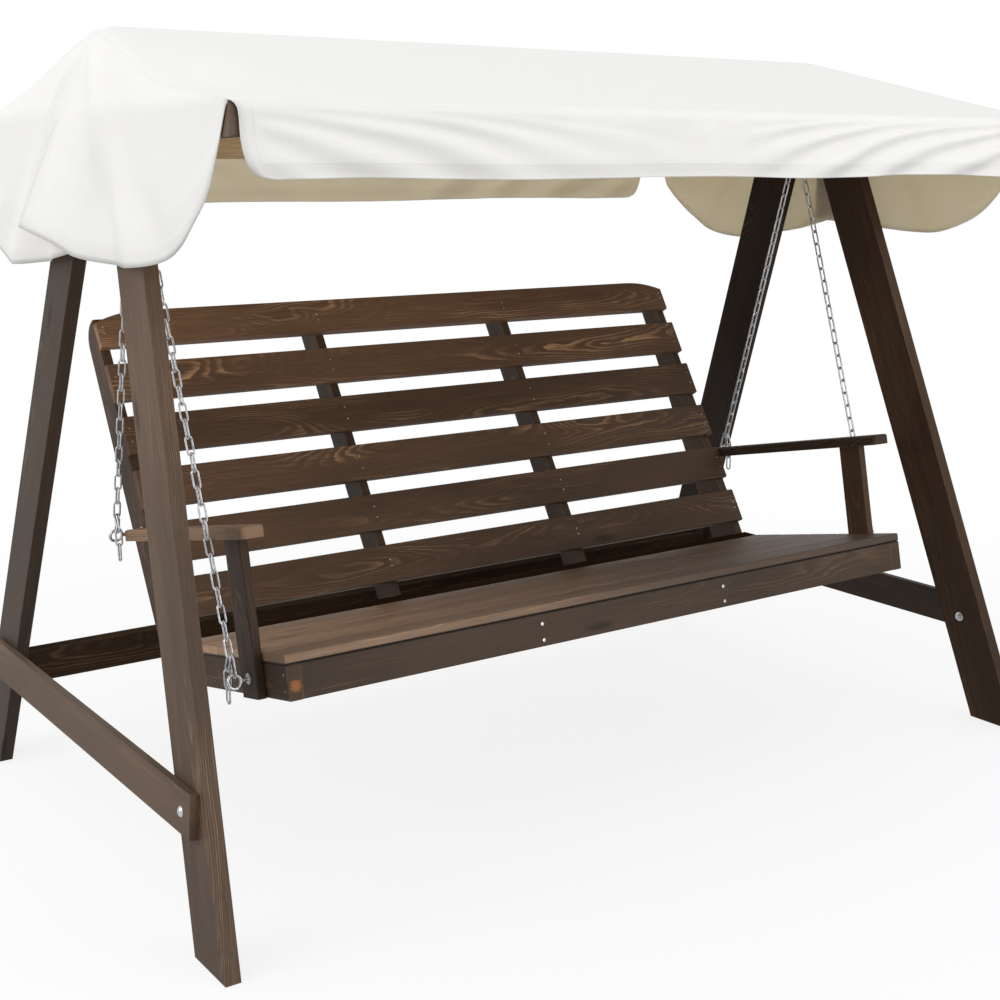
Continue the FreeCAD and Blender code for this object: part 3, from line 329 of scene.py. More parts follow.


# the pith lies that deep behind the middle of a board, and every board has its own tone; many of these tones
# are painted light and shade, set to make each piece as bright as the light on it: the left armrest, the left
# front leg and the top slat lighter, the right legs, the right armrest, the rear strip and the crossbeam
# darker
timber = {
    "slat": {"grain": toRight, "face": slatFront, "pith": 0.045, "weathered": 0.0, "paintedLitEnd": 0.65,
             "figure": 1.0,
             "tonesAndPaintedLight": {"back_slat_1": 0.86, "back_slat_2": 0.72, "back_slat_3": 0.96, "back_slat_4": 0.91,
                       "back_slat_5": 1.25, "back_top_slat": 1.9}},
    "seat": {"grain": toRight, "face": seatUp, "pith": 0.06, "weathered": 0.35, "paintedLitEnd": 2.3, "gloss": 0.3,
             "seamShadowed": True,
             "tonesAndPaintedLight": {"seat_board_1": 1.1, "seat_board_2": 1.35, "seat_board_3": 1.4, "seat_board_4": 1.35,
                       "seat_board_5": 1.25}},
    "strip": {"grain": toRight, "face": seatUp, "pith": 0.06, "weathered": 0.0, "gloss": 0.0,
              "tonesAndPaintedLight": {"seat_rear_strip": 0.4}},
    "rail": {"grain": toRight, "face": toFront, "pith": 0.06, "weathered": 0.25, "figure": 0.5,
             "scuffed": True, "seamShadowed": True,
             "tonesAndPaintedLight": {"seat_front_rail": 0.66, "seat_rear_rail": 0.62}},
    "side": {"grain": seatBack, "face": toRight, "pith": 0.04, "weathered": 0.1, "figure": 0.5,
             "scuffed": True, "seamShadowed": True,
             "tonesAndPaintedLight": {"seat_left_rail": 0.95, "seat_right_rail": 0.85, "seat_left_bearer": 0.85,
                       "seat_right_bearer": 0.85}},
    "armrest": {"grain": seatBack, "face": seatUp, "pith": 0.05, "weathered": 0.3,
                "tonesAndPaintedLight": {"left_armrest": 2.8, "right_armrest": 0.58}},
    "post": {"grain": seatUp, "face": toRight, "pith": 0.05, "weathered": 0.0,
             "tonesAndPaintedLight": {"left_post": 0.42, "right_post": 1.05}},
    "stile": {"grain": slatUp, "face": toRight, "pith": 0.05, "weathered": 0.0,
              "tonesAndPaintedLight": {"left_outer_stile": 0.75, "left_middle_stile": 0.65, "right_middle_stile": 0.65,
                        "right_outer_stile": 0.7}},
    "leftLeg": {"grain": legUp, "face": toRight, "pith": 0.05, "weathered": 0.4, "mirrored": True,
                "paintedLitEnd": -0.25, "figure": 0.9,
                "tonesAndPaintedLight": {"left_front_leg": 1.45, "left_rear_leg": 0.68}},
    "rightLeg": {"grain": legUp, "face": toRight, "pith": 0.05, "weathered": 0.15, "mirrored": True,
                 "gloss": 0.1, "paintedLitEnd": -0.38,
                 "tonesAndPaintedLight": {"right_front_leg": 0.93, "right_rear_leg": 0.40}},
    "brace": {"grain": toBack, "face": toRight, "pith": 0.05, "weathered": 0.45,
              "tonesAndPaintedLight": {"left_brace": 1.12, "right_brace": 0.55, "left_canopy_arm": 1.0,
                        "right_canopy_arm": 1.0}},
    "beam": {"grain": toRight, "face": toFront, "pith": 0.05, "weathered": 0.3, "gloss": 0.0, "paintedLitEnd": 0.9,
             "tonesAndPaintedLight": {"rear_crossbeam": 0.34, "ridge_beam": 0.9}},
    "frontBatten": {"grain": toRight, "face": toFront, "pith": 0.05, "weathered": 0.8,
                    "tonesAndPaintedLight": {"front_canopy_rail": 1.5}},
    "rearBatten": {"grain": toRight, "face": toFront, "pith": 0.05, "weathered": 0.0, "bare": 1.0,
                   "tonesAndPaintedLight": {"rear_canopy_rail": 1.6}},
}


def paint(node, material):
    target = nodes[node]
    target.data.materials.clear()
    target.data.materials.append(material)


def middleOf(node):
    corners = [Vector(corner) for corner in nodes[node].bound_box]
    return sum(corners, Vector()) / len(corners)


boards = [(piece, tone, kind) for kind in timber.values() for piece, tone in kind["tonesAndPaintedLight"].items()]
for count, (piece, tone, kind) in enumerate(boards):
    seed = (wood["firstSeed"] + wood["seedStep"] * count) % 1.0
    paint(piece, stainedWood(piece + "_wood", middleOf(piece), seed, tone, kind))
print("wood painted,", len(boards), "boards")


# Bright zinc of the chains, hooks, bolts and screws

zinc = {
    "bright": (0.56, 0.565, 0.58, 1.0),
    "dull": (0.36, 0.365, 0.38, 1.0),
    "bump": 0.08,
    "bumpDepth": 0.0003,
}


def zincSteel():
    material, tree, shader = newMaterial("zinc_steel")
    spot = tree.nodes.new("ShaderNodeTexCoord").outputs["Object"]
    cloud = noiseAt(tree, spot, 160.0, 3.0)
    fine = noiseAt(tree, spot, 1400.0, 2.0)
    color = mixColor(tree, remap(tree, cloud, 0.4, 0.65, 0.0, 1.0), zinc["bright"], zinc["dull"])
    tree.links.new(color, shader.inputs["Base Color"])
    tree.links.new(calc(tree, "MULTIPLY_ADD", cloud, 0.25, 0.18), shader.inputs["Roughness"])
    shader.inputs["Metallic"].default_value = 1.0
    addBump(tree, shader, fine, zinc["bump"], zinc["bumpDepth"])
    return material


steel = zincSteel()
fittings = ["brace_bolts", "canopy_arm_bolts", "frame_nuts", "ridge_screws", "hanger_eye_bolts",
            "top_carabiners", "left_front_chain", "left_rear_chain", "right_front_chain", "right_rear_chain",
            "chain_hooks", "front_eye_bolts", "rear_eye_bolts", "eye_bolt_washers", "eye_bolt_nuts"]
for piece in fittings:
    paint(piece, steel)
print("steel painted,", len(fittings), "fittings")


# Canopy cloth: pale canvas with a hem that is turned up and stitched

cloth = {
    "outside": (0.87, 0.862, 0.843, 1.0),
    # painted light: the warm tan of the inside stands in for daylight coming through the pale cloth and for
    # its shade under the roof
    "inside": (1.0, 0.745, 0.56, 1.0),
    "letThrough": 1.0,
    "glow": 0.008,
    "glowTint": (1.0, 0.9, 0.75),
    "threads": 900.0,
    "hemWidth": 0.026,
    "stitchLength": 0.0045,
    "gloss": 0.25,
    "sheen": 0.12,
    "bump": 0.35,
    "bumpDepth": 0.00035,
}


def buildWeave():
    tree, given, result = newGroup("canvasWeave", {"Vector": "Vector", "Threads": "Float"},
                                   {"Height": "Float", "Tone": "Float"})
    split = addNode(tree, "ShaderNodeSeparateXYZ", Vector=given["Vector"]).outputs
    waves = []
    for axis in (0, 1):
        turns = calc(tree, "MULTIPLY", calc(tree, "MULTIPLY", split[axis], given["Threads"]), 2.0 * math.pi)
        waves.append(calc(tree, "SINE", turns))
    crossing = calc(tree, "MULTIPLY", waves[0], waves[1])
    tree.links.new(calc(tree, "MULTIPLY_ADD", crossing, 0.5, 0.5), result["Height"])
    warp = noiseAt(tree, stretched(tree, given["Vector"], (700.0, 14.0, 1.0)), 1.0, 2.0)
    weft = noiseAt(tree, stretched(tree, given["Vector"], (14.0, 700.0, 1.0)), 1.0, 2.0)
    cloud = noiseAt(tree, given["Vector"], 3.5, 3.0)
    tone = calc(tree, "MULTIPLY", calc(tree, "ADD", warp, weft), remap(tree, cloud, 0.3, 0.7, 0.96, 1.04))
    tree.links.new(tone, result["Tone"])
    return tree


def buildHemStitch():
    tree, given, result = newGroup("hemStitch", {"Vector": "Vector", "Hem Width": "Float", "Stitch": "Float"},
                                   {"Thread": "Float", "Band": "Float"})
    split = addNode(tree, "ShaderNodeSeparateXYZ", Vector=given["Vector"]).outputs
    seam = calc(tree, "SUBTRACT", given["Hem Width"], 0.003)
    away = calc(tree, "ABSOLUTE", calc(tree, "SUBTRACT", split[1], seam))
    row = remap(tree, away, 0.0004, 0.0011, 1.0, 0.0)
    dash = calc(tree, "FRACT", calc(tree, "DIVIDE", split[0], given["Stitch"]))
    dash = calc(tree, "LESS_THAN", dash, 0.68)
    tree.links.new(calc(tree, "MULTIPLY", row, dash), result["Thread"])
    inner = calc(tree, "ADD", given["Hem Width"], 0.0015)
    tree.links.new(remap(tree, split[1], given["Hem Width"], inner, 1.0, 0.0), result["Band"])
    return tree


canvasWeave = buildWeave()
hemStitch = buildHemStitch()


def canvas(name, color, letThrough=0.0):
    material, tree, shader = newMaterial(name)
    flat = tree.nodes.new("ShaderNodeUVMap")
    flat.uv_map = "cut"
    edge = tree.nodes.new("ShaderNodeUVMap")
    edge.uv_map = "hem"
    weave = placeGroup(tree, canvasWeave, {"Vector": flat.outputs[0], "Threads": cloth["threads"]})
    stitch = placeGroup(tree, hemStitch, {"Vector": edge.outputs[0], "Hem Width": cloth["hemWidth"],
                                          "Stitch": cloth["stitchLength"]})
    shade = remap(tree, weave["Tone"], 0.6, 1.4, 0.97, 1.03)
    # the hem band is a little darker: painted shade of the hem where it curls in
    shade = calc(tree, "MULTIPLY", shade, remap(tree, stitch["Band"], 0.0, 1.0, 1.0, 0.985))
    shade = calc(tree, "MULTIPLY", shade, remap(tree, stitch["Thread"], 0.0, 1.0, 1.0, 0.93))
    tree.links.new(mixColor(tree, 1.0, color, greyOf(tree, shade), "MULTIPLY"), shader.inputs["Base Color"])
    tree.links.new(remap(tree, weave["Tone"], 0.6, 1.4, 0.78, 0.92), shader.inputs["Roughness"])
    shader.inputs["Specular IOR Level"].default_value = cloth["gloss"]
    shader.inputs["Sheen Weight"].default_value = cloth["sheen"]
    # daylight comes through the cloth from behind
    shader.inputs["Subsurface Weight"].default_value = letThrough
    shader.inputs["Subsurface Radius"].default_value = cloth["glowTint"]
    shader.inputs["Subsurface Scale"].default_value = cloth["glow"]
    height = calc(tree, "MULTIPLY_ADD", stitch["Band"], 3.0, weave["Height"])
    height = calc(tree, "MULTIPLY_ADD", stitch["Thread"], 1.5, height)
    addBump(tree, shader, height, cloth["bump"], cloth["bumpDepth"])
    return material


# Canopy: one sheet laid over ridge and rails, with valances and end lobes hanging from it

canopy = {
    "frontEave": (-0.6565, 1.4425),
    "rearEave": (0.6565, 1.4155),
    "slope": 0.68,
    "ridge": 1.5965,
    "ridgeEnd": (1.588, 1.594),
    "armEdge": (0.9865, 1.4430),
    "halfAtRidge": 0.939,
    "halfAtEave": 0.9875,
    "columns": 132,
    "rows": 44,
    "rowSpread": 1.25,
    "sag": 0.010,
    "roofWaver": 0.0016,
    "ridgeEndFrom": 0.965,
    "endDroopFrom": 0.80,
    "endDroop": {("left", "front"): 0.030, ("left", "rear"): 0.012,
                 ("right", "front"): 0.002, ("right", "rear"): 0.012},
    "valanceDrop": (0.120, 0.160),
    "valanceRows": 24,
    "evenRows": 0.4,
    "lobeRows": 30,
    "lobeRun": 0.66,
    "lobeCut": (2.0, 3.0),
    "lobeRipple": 0.003,
    "hemHalf": 0.94,
    "lobeHem": 2.6,
    "slitEdge": 0.004,
    "thickness": 0.0016,
    # share of the drop, half width of the front and the rear valance there
    "valanceSide": [(0.0, 0.9875, 0.9875), (0.02, 0.9815, 0.976), (0.06, 0.9765, 0.968),
                    (0.13, 0.9735, 0.958), (0.25, 0.9715, 0.948), (0.45, 0.9705, 0.941),
                    (0.63, 0.9675, 0.936), (0.79, 0.961, 0.928), (0.88, 0.952, 0.918),
                    (0.955, 0.939, 0.905), (1.0, 0.915, 0.884)],
    "valanceOut": {"eave": 0.0015, "bulge": 0.004, "more": 0.003, "hemTuck": 0.007},
    "hemWave": {"waver": 0.0035, "roll": 0.002},
    # soft upright folds of a valance, a little aslant
    "softFold": {"depth": 0.0022, "spacing": 0.41, "slant": 0.25, "waver": 2.2},
    # drag folds fan out from the upper corners, strongest at the right one
    "dragFold": {"depth": {1: 0.0105, -1: 0.0040}, "spacing": 0.205, "first": 0.184, "fan": 0.24,
                 "fanLevel": 0.102, "waver": 0.05, "reach": (0.02, 0.30), "corner": (0.93, 0.99)},
    # one upright crease near the middle, sharper on its right
    "middleCrease": {"x": -0.017, "depth": 0.0055, "left": 0.028, "right": 0.007, "bend": 0.1,
                     "bendLevel": 0.08},
    # share of the way from ridge to eave, then the hem's y, z and how far it stands out
    "lobes": {
        ("left", "front"): [
            (0.0, 0.205, 1.226, 0.054), (0.03, 0.061, 1.200, 0.036), (0.10, -0.018, 1.180, 0.018),
            (0.27, -0.160, 1.168, 0.010), (0.50, -0.310, 1.173, 0.012), (0.65, -0.402, 1.189, 0.012),
            (0.75, -0.478, 1.217, 0.009), (0.82, -0.524, 1.250, 0.008), (0.90, -0.578, 1.298, 0.006),
            (0.95, -0.611, 1.352, 0.004), (1.0, -0.648, 1.432, 0.0)],
        ("left", "rear"): [
            (0.0, 0.045, 1.183, 0.004), (0.10, 0.100, 1.170, 0.008), (0.27, 0.197, 1.158, 0.014),
            (0.50, 0.340, 1.147, 0.018), (0.66, 0.440, 1.158, 0.016), (0.82, 0.525, 1.212, 0.012),
            (0.90, 0.575, 1.277, 0.008), (0.95, 0.612, 1.347, 0.004), (1.0, 0.648, 1.405, 0.0)],
        ("right", "front"): [
            (0.0, 0.035, 1.208, 0.020), (0.10, -0.060, 1.202, 0.016), (0.30, -0.205, 1.192, 0.012),
            (0.45, -0.290, 1.185, 0.010), (0.60, -0.378, 1.188, 0.010), (0.72, -0.444, 1.207, 0.010),
            (0.84, -0.513, 1.246, 0.008), (0.92, -0.570, 1.310, 0.006), (1.0, -0.648, 1.432, 0.0)],
        ("right", "rear"): [
            (0.0, -0.050, 1.213, 0.004), (0.06, 0.030, 1.194, 0.005), (0.20, 0.127, 1.174, 0.008),
            (0.45, 0.293, 1.151, 0.010), (0.62, 0.405, 1.164, 0.010), (0.80, 0.505, 1.207, 0.010),
            (0.90, 0.566, 1.250, 0.008), (0.95, 0.615, 1.297, 0.005), (1.0, 0.648, 1.405, 0.0)],
    },
    # soft folds of an end lobe: share of the way from slit to corner at the hem, width, depth
    "lobeFolds": [(0.11, 0.07, 0.012), (0.26, 0.06, -0.013), (0.46, 0.08, 0.015), (0.66, 0.07, -0.006),
                  (0.80, 0.07, 0.001)],
    # the crease below the end of the ridge
    "ridgeCrease": {"share": 0.178, "reach": 0.29, "width": 0.05, "depth": 0.014},
    "hemCurl": 0.004,
}


def smooth(low, high, value):
    share = min(1.0, max(0.0, (value - low) / (high - low)))
    return share * share * (3.0 - 2.0 * share)


def curveAt(table, key):
    # a smooth line through the rows of a table
    last = len(table) - 1
    spot = 0
    while spot < last - 1 and key > table[spot + 1][0]:
        spot += 1
    before, start, end, after = (table[min(last, max(0, spot + step))] for step in (-1, 0, 1, 2))
    span = end[0] - start[0]
    share = (key - start[0]) / span
    fromStart = 2 * share ** 3 - 3 * share ** 2 + 1
    leaving = share ** 3 - 2 * share ** 2 + share
    fromEnd = 3 * share ** 2 - 2 * share ** 3
    arriving = share ** 3 - share ** 2
    found = []
    for column in range(1, len(start)):
        slopeIn = (end[column] - before[column]) / (end[0] - before[0]) * span
        slopeOut = (after[column] - start[column]) / (after[0] - start[0]) * span
        found.append(fromStart * start[column] + leaving * slopeIn
                     + fromEnd * end[column] + arriving * slopeOut)
    return found


def wander(x, y, scale, seed):
    return noise.noise(Vector((x * scale, y * scale, seed)))


def sideName(side):
    return "left" if side < 0 else "right"


def endName(end):
    return "front" if end < 0 else "rear"


def eaveAt(end):
    return canopy[endName(end) + "Eave"]


def valanceDropAt(end):
    return canopy["valanceDrop"][0 if end < 0 else 1]


def roofPoint(across, share, end):
    eave = eaveAt(end)
    half = canopy["halfAtRidge"] + (canopy["halfAtEave"] - canopy["halfAtRidge"]) * share ** 0.8
    ridgeEnd = canopy["ridgeEnd"][0 if across < 0 else 1]
    top = canopy["ridge"] + (ridgeEnd - canopy["ridge"]) * smooth(canopy["ridgeEndFrom"], 1.0, abs(across))
    droop = canopy["endDroop"][sideName(across), endName(end)]
    droop *= smooth(canopy["endDroopFrom"], 1.0, abs(across))
    droop *= smooth(0.08, 0.5, share) * (1.0 - smooth(0.5, 1.0, share))
    droop += canopy["sag"] * (1.0 - across ** 6) * 4.0 * share * (1.0 - share)
    height = top + (eave[1] - top) * share - droop
    height += canopy["roofWaver"] * wander(across, share * end, 2.3, 4.0) * math.sin(math.pi * share)
    return Vector((across * half, eave[0] * share, height))


def valanceFold(x, share, below, across, end):
    soft, drag, crease = canopy["softFold"], canopy["dragFold"], canopy["middleCrease"]
    turn = 2.0 * math.pi * (x / soft["spacing"] + soft["slant"] * share)
    turn += soft["waver"] * wander(x, 0.0, 1.4, 1.0 + end)
    fold = soft["depth"] * math.sin(turn)
    fold += soft["depth"] * wander(x - 0.7 * below, below, 8.0, 3.0 + end)
    for side, depth in drag["depth"].items():
        fan = side * x + drag["fan"] * math.log(max(below, 0.008) / drag["fanLevel"])
        fan += drag["waver"] * wander(x, below, 3.1, 21.0 + side)
        depth *= 0.75 + 0.9 * wander(x + 0.4 * below, 0.0, 2.2, 33.0 + side)
        reach = smooth(*drag["reach"], side * x) * (1.0 - smooth(*drag["corner"], abs(across)))
        fold -= depth * math.cos(2.0 * math.pi * (fan - drag["first"]) / drag["spacing"]) * reach
    away = x - crease["x"] + crease["bend"] * max(0.0, below - crease["bendLevel"])
    width = crease["right"] if away > 0.0 else crease["left"]
    return fold + crease["depth"] * math.exp(-(away / width) ** 2)


def valancePoint(across, share, end):
    eave, drop = eaveAt(end), valanceDropAt(end)
    stand, wave = canopy["valanceOut"], canopy["hemWave"]
    x = across * curveAt(canopy["valanceSide"], share)[0 if end < 0 else 1]
    hem = wave["waver"] * wander(x, 0.0, 2.6, 7.0 + end) + wave["roll"] * math.sin(9.0 * x + end)
    fold = valanceFold(x, share, share * drop, across, end)
    bulge = stand["bulge"] + stand["more"] * share + fold * smooth(0.04, 0.40, share)
    out = stand["eave"] + bulge * smooth(0.0, 0.12, share) - stand["hemTuck"] * smooth(0.74, 1.0, share)
    return Vector((x, eave[0] + end * out, eave[1] - share * (drop + hem * share)))


def lobePoint(side, end, share, down, top):
    hemY, hemZ, out = curveAt(canopy["lobes"][sideName(side), endName(end)], share)
    z = top.z + (hemZ - top.z) * down
    armX, armZ = canopy["armEdge"]
    # down to the canopy arm the cloth hangs from the roof's edge, below it from the arm
    if z > armZ and top.z > armZ + 0.004:
        x = abs(top.x) + (armX - abs(top.x)) * ((top.z - z) / (top.z - armZ)) ** 0.85
    else:
        fall = min(1.0, max(0.0, (armZ - z) / max(0.01, armZ - hemZ)))
        x = max(armX, abs(top.x)) + out * fall
    ripple = canopy["lobeRipple"]
    ripple += ripple * wander(share, down, 4.0, 11.0 + side + 2 * end)
    for middle, width, depth in canopy["lobeFolds"]:
        spot = middle * (0.45 + 0.55 * down)
        ripple += depth * math.exp(-((share - spot) / (width * (0.5 + 0.5 * down))) ** 2)
    x += ripple * smooth(0.25, 0.85, down) * (1.0 - smooth(0.90, 1.0, share))
    crease = canopy["ridgeCrease"]
    spot = crease["share"] * min(1.0, down / crease["reach"]) ** 0.8
    fold = crease["depth"] * math.exp(-abs(share - spot) / crease["width"])
    x += fold * smooth(0.0, 0.15, down) * (1.0 - smooth(0.40, 0.80, down))
    # the hem curls in a little
    x -= canopy["hemCurl"] * smooth(0.93, 1.0, down) * (1.0 - smooth(0.9, 1.0, share))
    return Vector((side * x, top.y + (hemY - top.y) * down, z))


def layCanopy(mesh):
    columns, rows = canopy["columns"], canopy["rows"]
    acrossAt = [2.0 * column / columns - 1.0 for column in range(columns + 1)]
    shareAt = [(row / rows) ** canopy["rowSpread"] for row in range(rows + 1)]
    slope, lobeRun, even = canopy["slope"], canopy["lobeRun"], canopy["evenRows"]
    cutX, cutY = canopy["lobeCut"]
    cut = {}
    hem = {}

    # a point of the sheet, its place in the flat cut, and its place along and away from the hem
    def put(point, flat, edge):
        vertex = mesh.verts.new(point)
        cut[vertex] = flat
        hem[vertex] = edge
        return vertex

    def sew(above, below):
        for spot in range(len(above) - 1):
            mesh.faces.new((above[spot], below[spot], below[spot + 1], above[spot + 1]))

    roof = {}
    for end in (-1, 1):
        for row, share in enumerate(shareAt):
            if row == 0 and end > 0:
                roof[end, 0] = roof[-1, 0]
                continue
            line = []
            for across in acrossAt:
                point = roofPoint(across, share, end)
                line.append(put(point, (point.x, end * share * slope), (point.x, 1.0)))
            roof[end, row] = line

    for end in (-1, 1):
        for row in range(rows):
            sew(roof[end, row], roof[end, row + 1])

        # valance below the eave
        drop = valanceDropAt(end)
        steps = canopy["valanceRows"]
        above = roof[end, rows]
        for step in range(1, steps + 1):
            # closer rows at the eave and at the rounded corners
            share = even * step / steps + (1.0 - even) * smooth(0.0, 1.0, step / steps)
            line = []
            for across in acrossAt:
                point = valancePoint(across, share, end)
                away = min(drop * (1.0 - share), canopy["hemHalf"] * (1.0 - abs(across)))
                line.append(put(point, (point.x, end * (slope + share * drop)), (point.x, away)))
            sew(above, line)
            above = line

        # two lobes at the ends, from the slit below the peak to the corner
        for side in (-1, 1):
            steps = canopy["lobeRows"]
            above = [roof[end, row][0 if side < 0 else columns] for row in range(rows + 1)]
            tops = [vertex.co.copy() for vertex in above]
            for step in range(1, steps + 1):
                down = step / steps
                line = []
                for share, top in zip(shareAt, tops):
                    point = lobePoint(side, end, share, down, top)
                    length = (lobePoint(side, end, share, 1.0, top) - top).length
                    # the hem of a lobe is narrower than that of a valance
                    away = min((1.0 - down) * length, canopy["slitEdge"] + share * lobeRun)
                    away *= canopy["lobeHem"]
                    flat = (cutX + side + end * share * lobeRun, cutY + down * length)
                    line.append(put(point, flat, (point.y + point.z, away)))
                sew(above, line)
                above = line
    return cut, hem


def makeCanopy():
    mesh = bmesh.new()
    cut, hem = layCanopy(mesh)
    mesh.verts.index_update()
    bmesh.ops.recalc_face_normals(mesh, faces=mesh.faces[:])
    mesh.faces.ensure_lookup_table()
    if mesh.faces[0].normal.z < 0.0:
        bmesh.ops.reverse_faces(mesh, faces=mesh.faces[:])
    cutLayer = mesh.loops.layers.uv.new("cut")
    hemLayer = mesh.loops.layers.uv.new("hem")
    for face in mesh.faces:
        face.smooth = True
        for loop in face.loops:
            loop[cutLayer].uv = cut[loop.vert]
            loop[hemLayer].uv = hem[loop.vert]
    flatArea = sum(face.calc_area() for face in mesh.faces)
    data = bpy.data.meshes.new("canopySheet")
    mesh.to_mesh(data)
    mesh.free()
    sheet = bpy.data.objects.new("canopySheet", data)
    bpy.context.scene.collection.objects.link(sheet)
    data.materials.append(canvas("canvas_outside", cloth["outside"]))
    data.materials.append(canvas("canvas_inside_painted_light", cloth["inside"], cloth["letThrough"]))
    wall = sheet.modifiers.new("thickness", "SOLIDIFY")
    wall.thickness = canopy["thickness"]
    wall.offset = -1.0
    wall.material_offset = 1
    print("canopy cut from %.2f square metres of cloth" % flatArea)
    return sheet, flatArea


canopySheet, canopyArea = makeCanopy()
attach(canopySheet, "stand")
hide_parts("canopy_roof", "front_valance", "rear_valance", "left_front_end_lobe",
            "left_rear_end_lobe", "right_front_end_lobe", "right_rear_end_lobe")


# Wood screws of slats and rails, set out on the faces that they hold

screw = {
    "radius": 0.0040,
    "height": 0.0012,
    "sides": 12,
    "smallHead": 0.42,
    # up the rim, over the dome, in to the recess and down into it: rise and narrowing of each step
    "profile": ((0.45, 0.97), (0.4, 0.80), (0.15, 0.58), (-0.05, 0.92), (-0.9, 0.7)),
    "benchFront": (0.0, -0.4534, 0.4806),
    # back slats: rise from one to the next, lowest front edge, middle, and the two screws' distance
    "slatStep": 0.1254,
    "slatFoot": (0.5227, 0.0434),
    "slatMiddle": 0.044,
    "slatPairs": (0.015, 0.026, 0.030, 0.030, 0.026, 0.015),
    "stiles": (-0.801, -0.2705, 0.2705, 0.801),
    "bearers": (-0.247, 0.247),
    "bearerLevels": (-0.040, -0.073),
    "sideFace": 0.821,
    "sideDepths": (0.0135, 0.5125),
    "sideLevels": (-0.0375, -0.0675),
    "armrest": 0.8305,
    "armrestDepths": (0.108, 0.143),
    "armrestLevel": 0.2395,
    # canopy rails: screws in the arms' ends
    "armX": 0.9615,
    "railFace": 0.653,
    "railBottoms": {-1.0: 1.387, 1.0: 1.360},
    "railLevels": (0.012, 0.041),
}


def onBench(x, depth, level):
    return Vector((x, 0.0, 0.0)) + Vector(screw["benchFront"]) + seatBack * depth + seatUp * level


def slatSpot(x, slat, height):
    # on the front face of a back slat, measured up from its lower edge
    rise = screw["slatStep"] * slat + height
    depth, level = screw["slatFoot"]
    return onBench(x, depth + rise * math.sin(backTurn), level + rise * math.cos(backTurn))


def benchScrews():
    spots = []
    small = screw["smallHead"]
    for slat, apart in enumerate(screw["slatPairs"]):
        for x in screw["stiles"]:
            for up in (-0.5, 0.5):
                spots.append((slatSpot(x, slat, screw["slatMiddle"] + up * apart), slatFront, small))
    for x in screw["bearers"]:
        for level in screw["bearerLevels"]:
            spots.append((onBench(x, 0.0, level), -seatBack, 1.0))
    for side in (-1.0, 1.0):
        for depth in screw["sideDepths"]:
            for level in screw["sideLevels"]:
                spots.append((onBench(side * screw["sideFace"], depth, level), (side, 0.0, 0.0), small))
        for depth in screw["armrestDepths"]:
            spots.append((onBench(side * screw["armrest"], depth, screw["armrestLevel"]), seatUp, small))
    return spots


def standScrews():
    spots = []
    for side in (-1.0, 1.0):
        for end, bottom in screw["railBottoms"].items():
            for level in screw["railLevels"]:
                spot = Vector((side * screw["armX"], end * screw["railFace"], bottom + level))
                spots.append((spot, (0.0, end, 0.0), 1.0))
    return spots


def namedAttribute(tree, name, kind):
    made = tree.nodes.new("GeometryNodeInputNamedAttribute")
    made.data_type = kind
    made.inputs["Name"].default_value = name
    return made.outputs["Attribute"]


def buildScrewHeads():
    tree = bpy.data.node_groups.new("screwHeads", "GeometryNodeTree")
    for label, kind in (("Geometry", "Geometry"), ("Head Radius", "Float"), ("Head Height", "Float"),
                        ("Sides", "Int"), ("Steel", "Material")):
        tree.interface.new_socket(label, in_out="INPUT", socket_type="NodeSocket" + kind)
    tree.interface.new_socket("Geometry", in_out="OUTPUT", socket_type="NodeSocketGeometry")
    given = tree.nodes.new("NodeGroupInput").outputs
    result = tree.nodes.new("NodeGroupOutput").inputs
    rim = addNode(tree, "GeometryNodeMeshCircle", Vertices=given["Sides"], Radius=given["Head Radius"])
    rim.fill_type = "NGON"
    shape, top = rim.outputs["Mesh"], None
    for rise, scale in screw["profile"]:
        grow = addNode(tree, "GeometryNodeExtrudeMesh", Mesh=shape)
        grow.mode = "FACES"
        if top:
            tree.links.new(top, grow.inputs["Selection"])
        tree.links.new(calc(tree, "MULTIPLY", given["Head Height"], rise), grow.inputs["Offset Scale"])
        top = grow.outputs["Top"]
        narrow = addNode(tree, "GeometryNodeScaleElements", Geometry=grow.outputs["Mesh"], Selection=top,
                         Scale=scale)
        shape = narrow.outputs[0]
    turn = addNode(tree, "FunctionNodeAlignRotationToVector",
                   Vector=namedAttribute(tree, "facing", "FLOAT_VECTOR"))
    turn.axis = "Z"
    setOut = addNode(tree, "GeometryNodeInstanceOnPoints", Points=given["Geometry"], Instance=shape,
                     Rotation=turn.outputs[0], Scale=namedAttribute(tree, "size", "FLOAT"))
    real = addNode(tree, "GeometryNodeRealizeInstances", Geometry=setOut.outputs[0])
    coat = addNode(tree, "GeometryNodeSetMaterial", Geometry=real.outputs[0], Material=given["Steel"])
    tree.links.new(coat.outputs[0], result["Geometry"])
    return tree


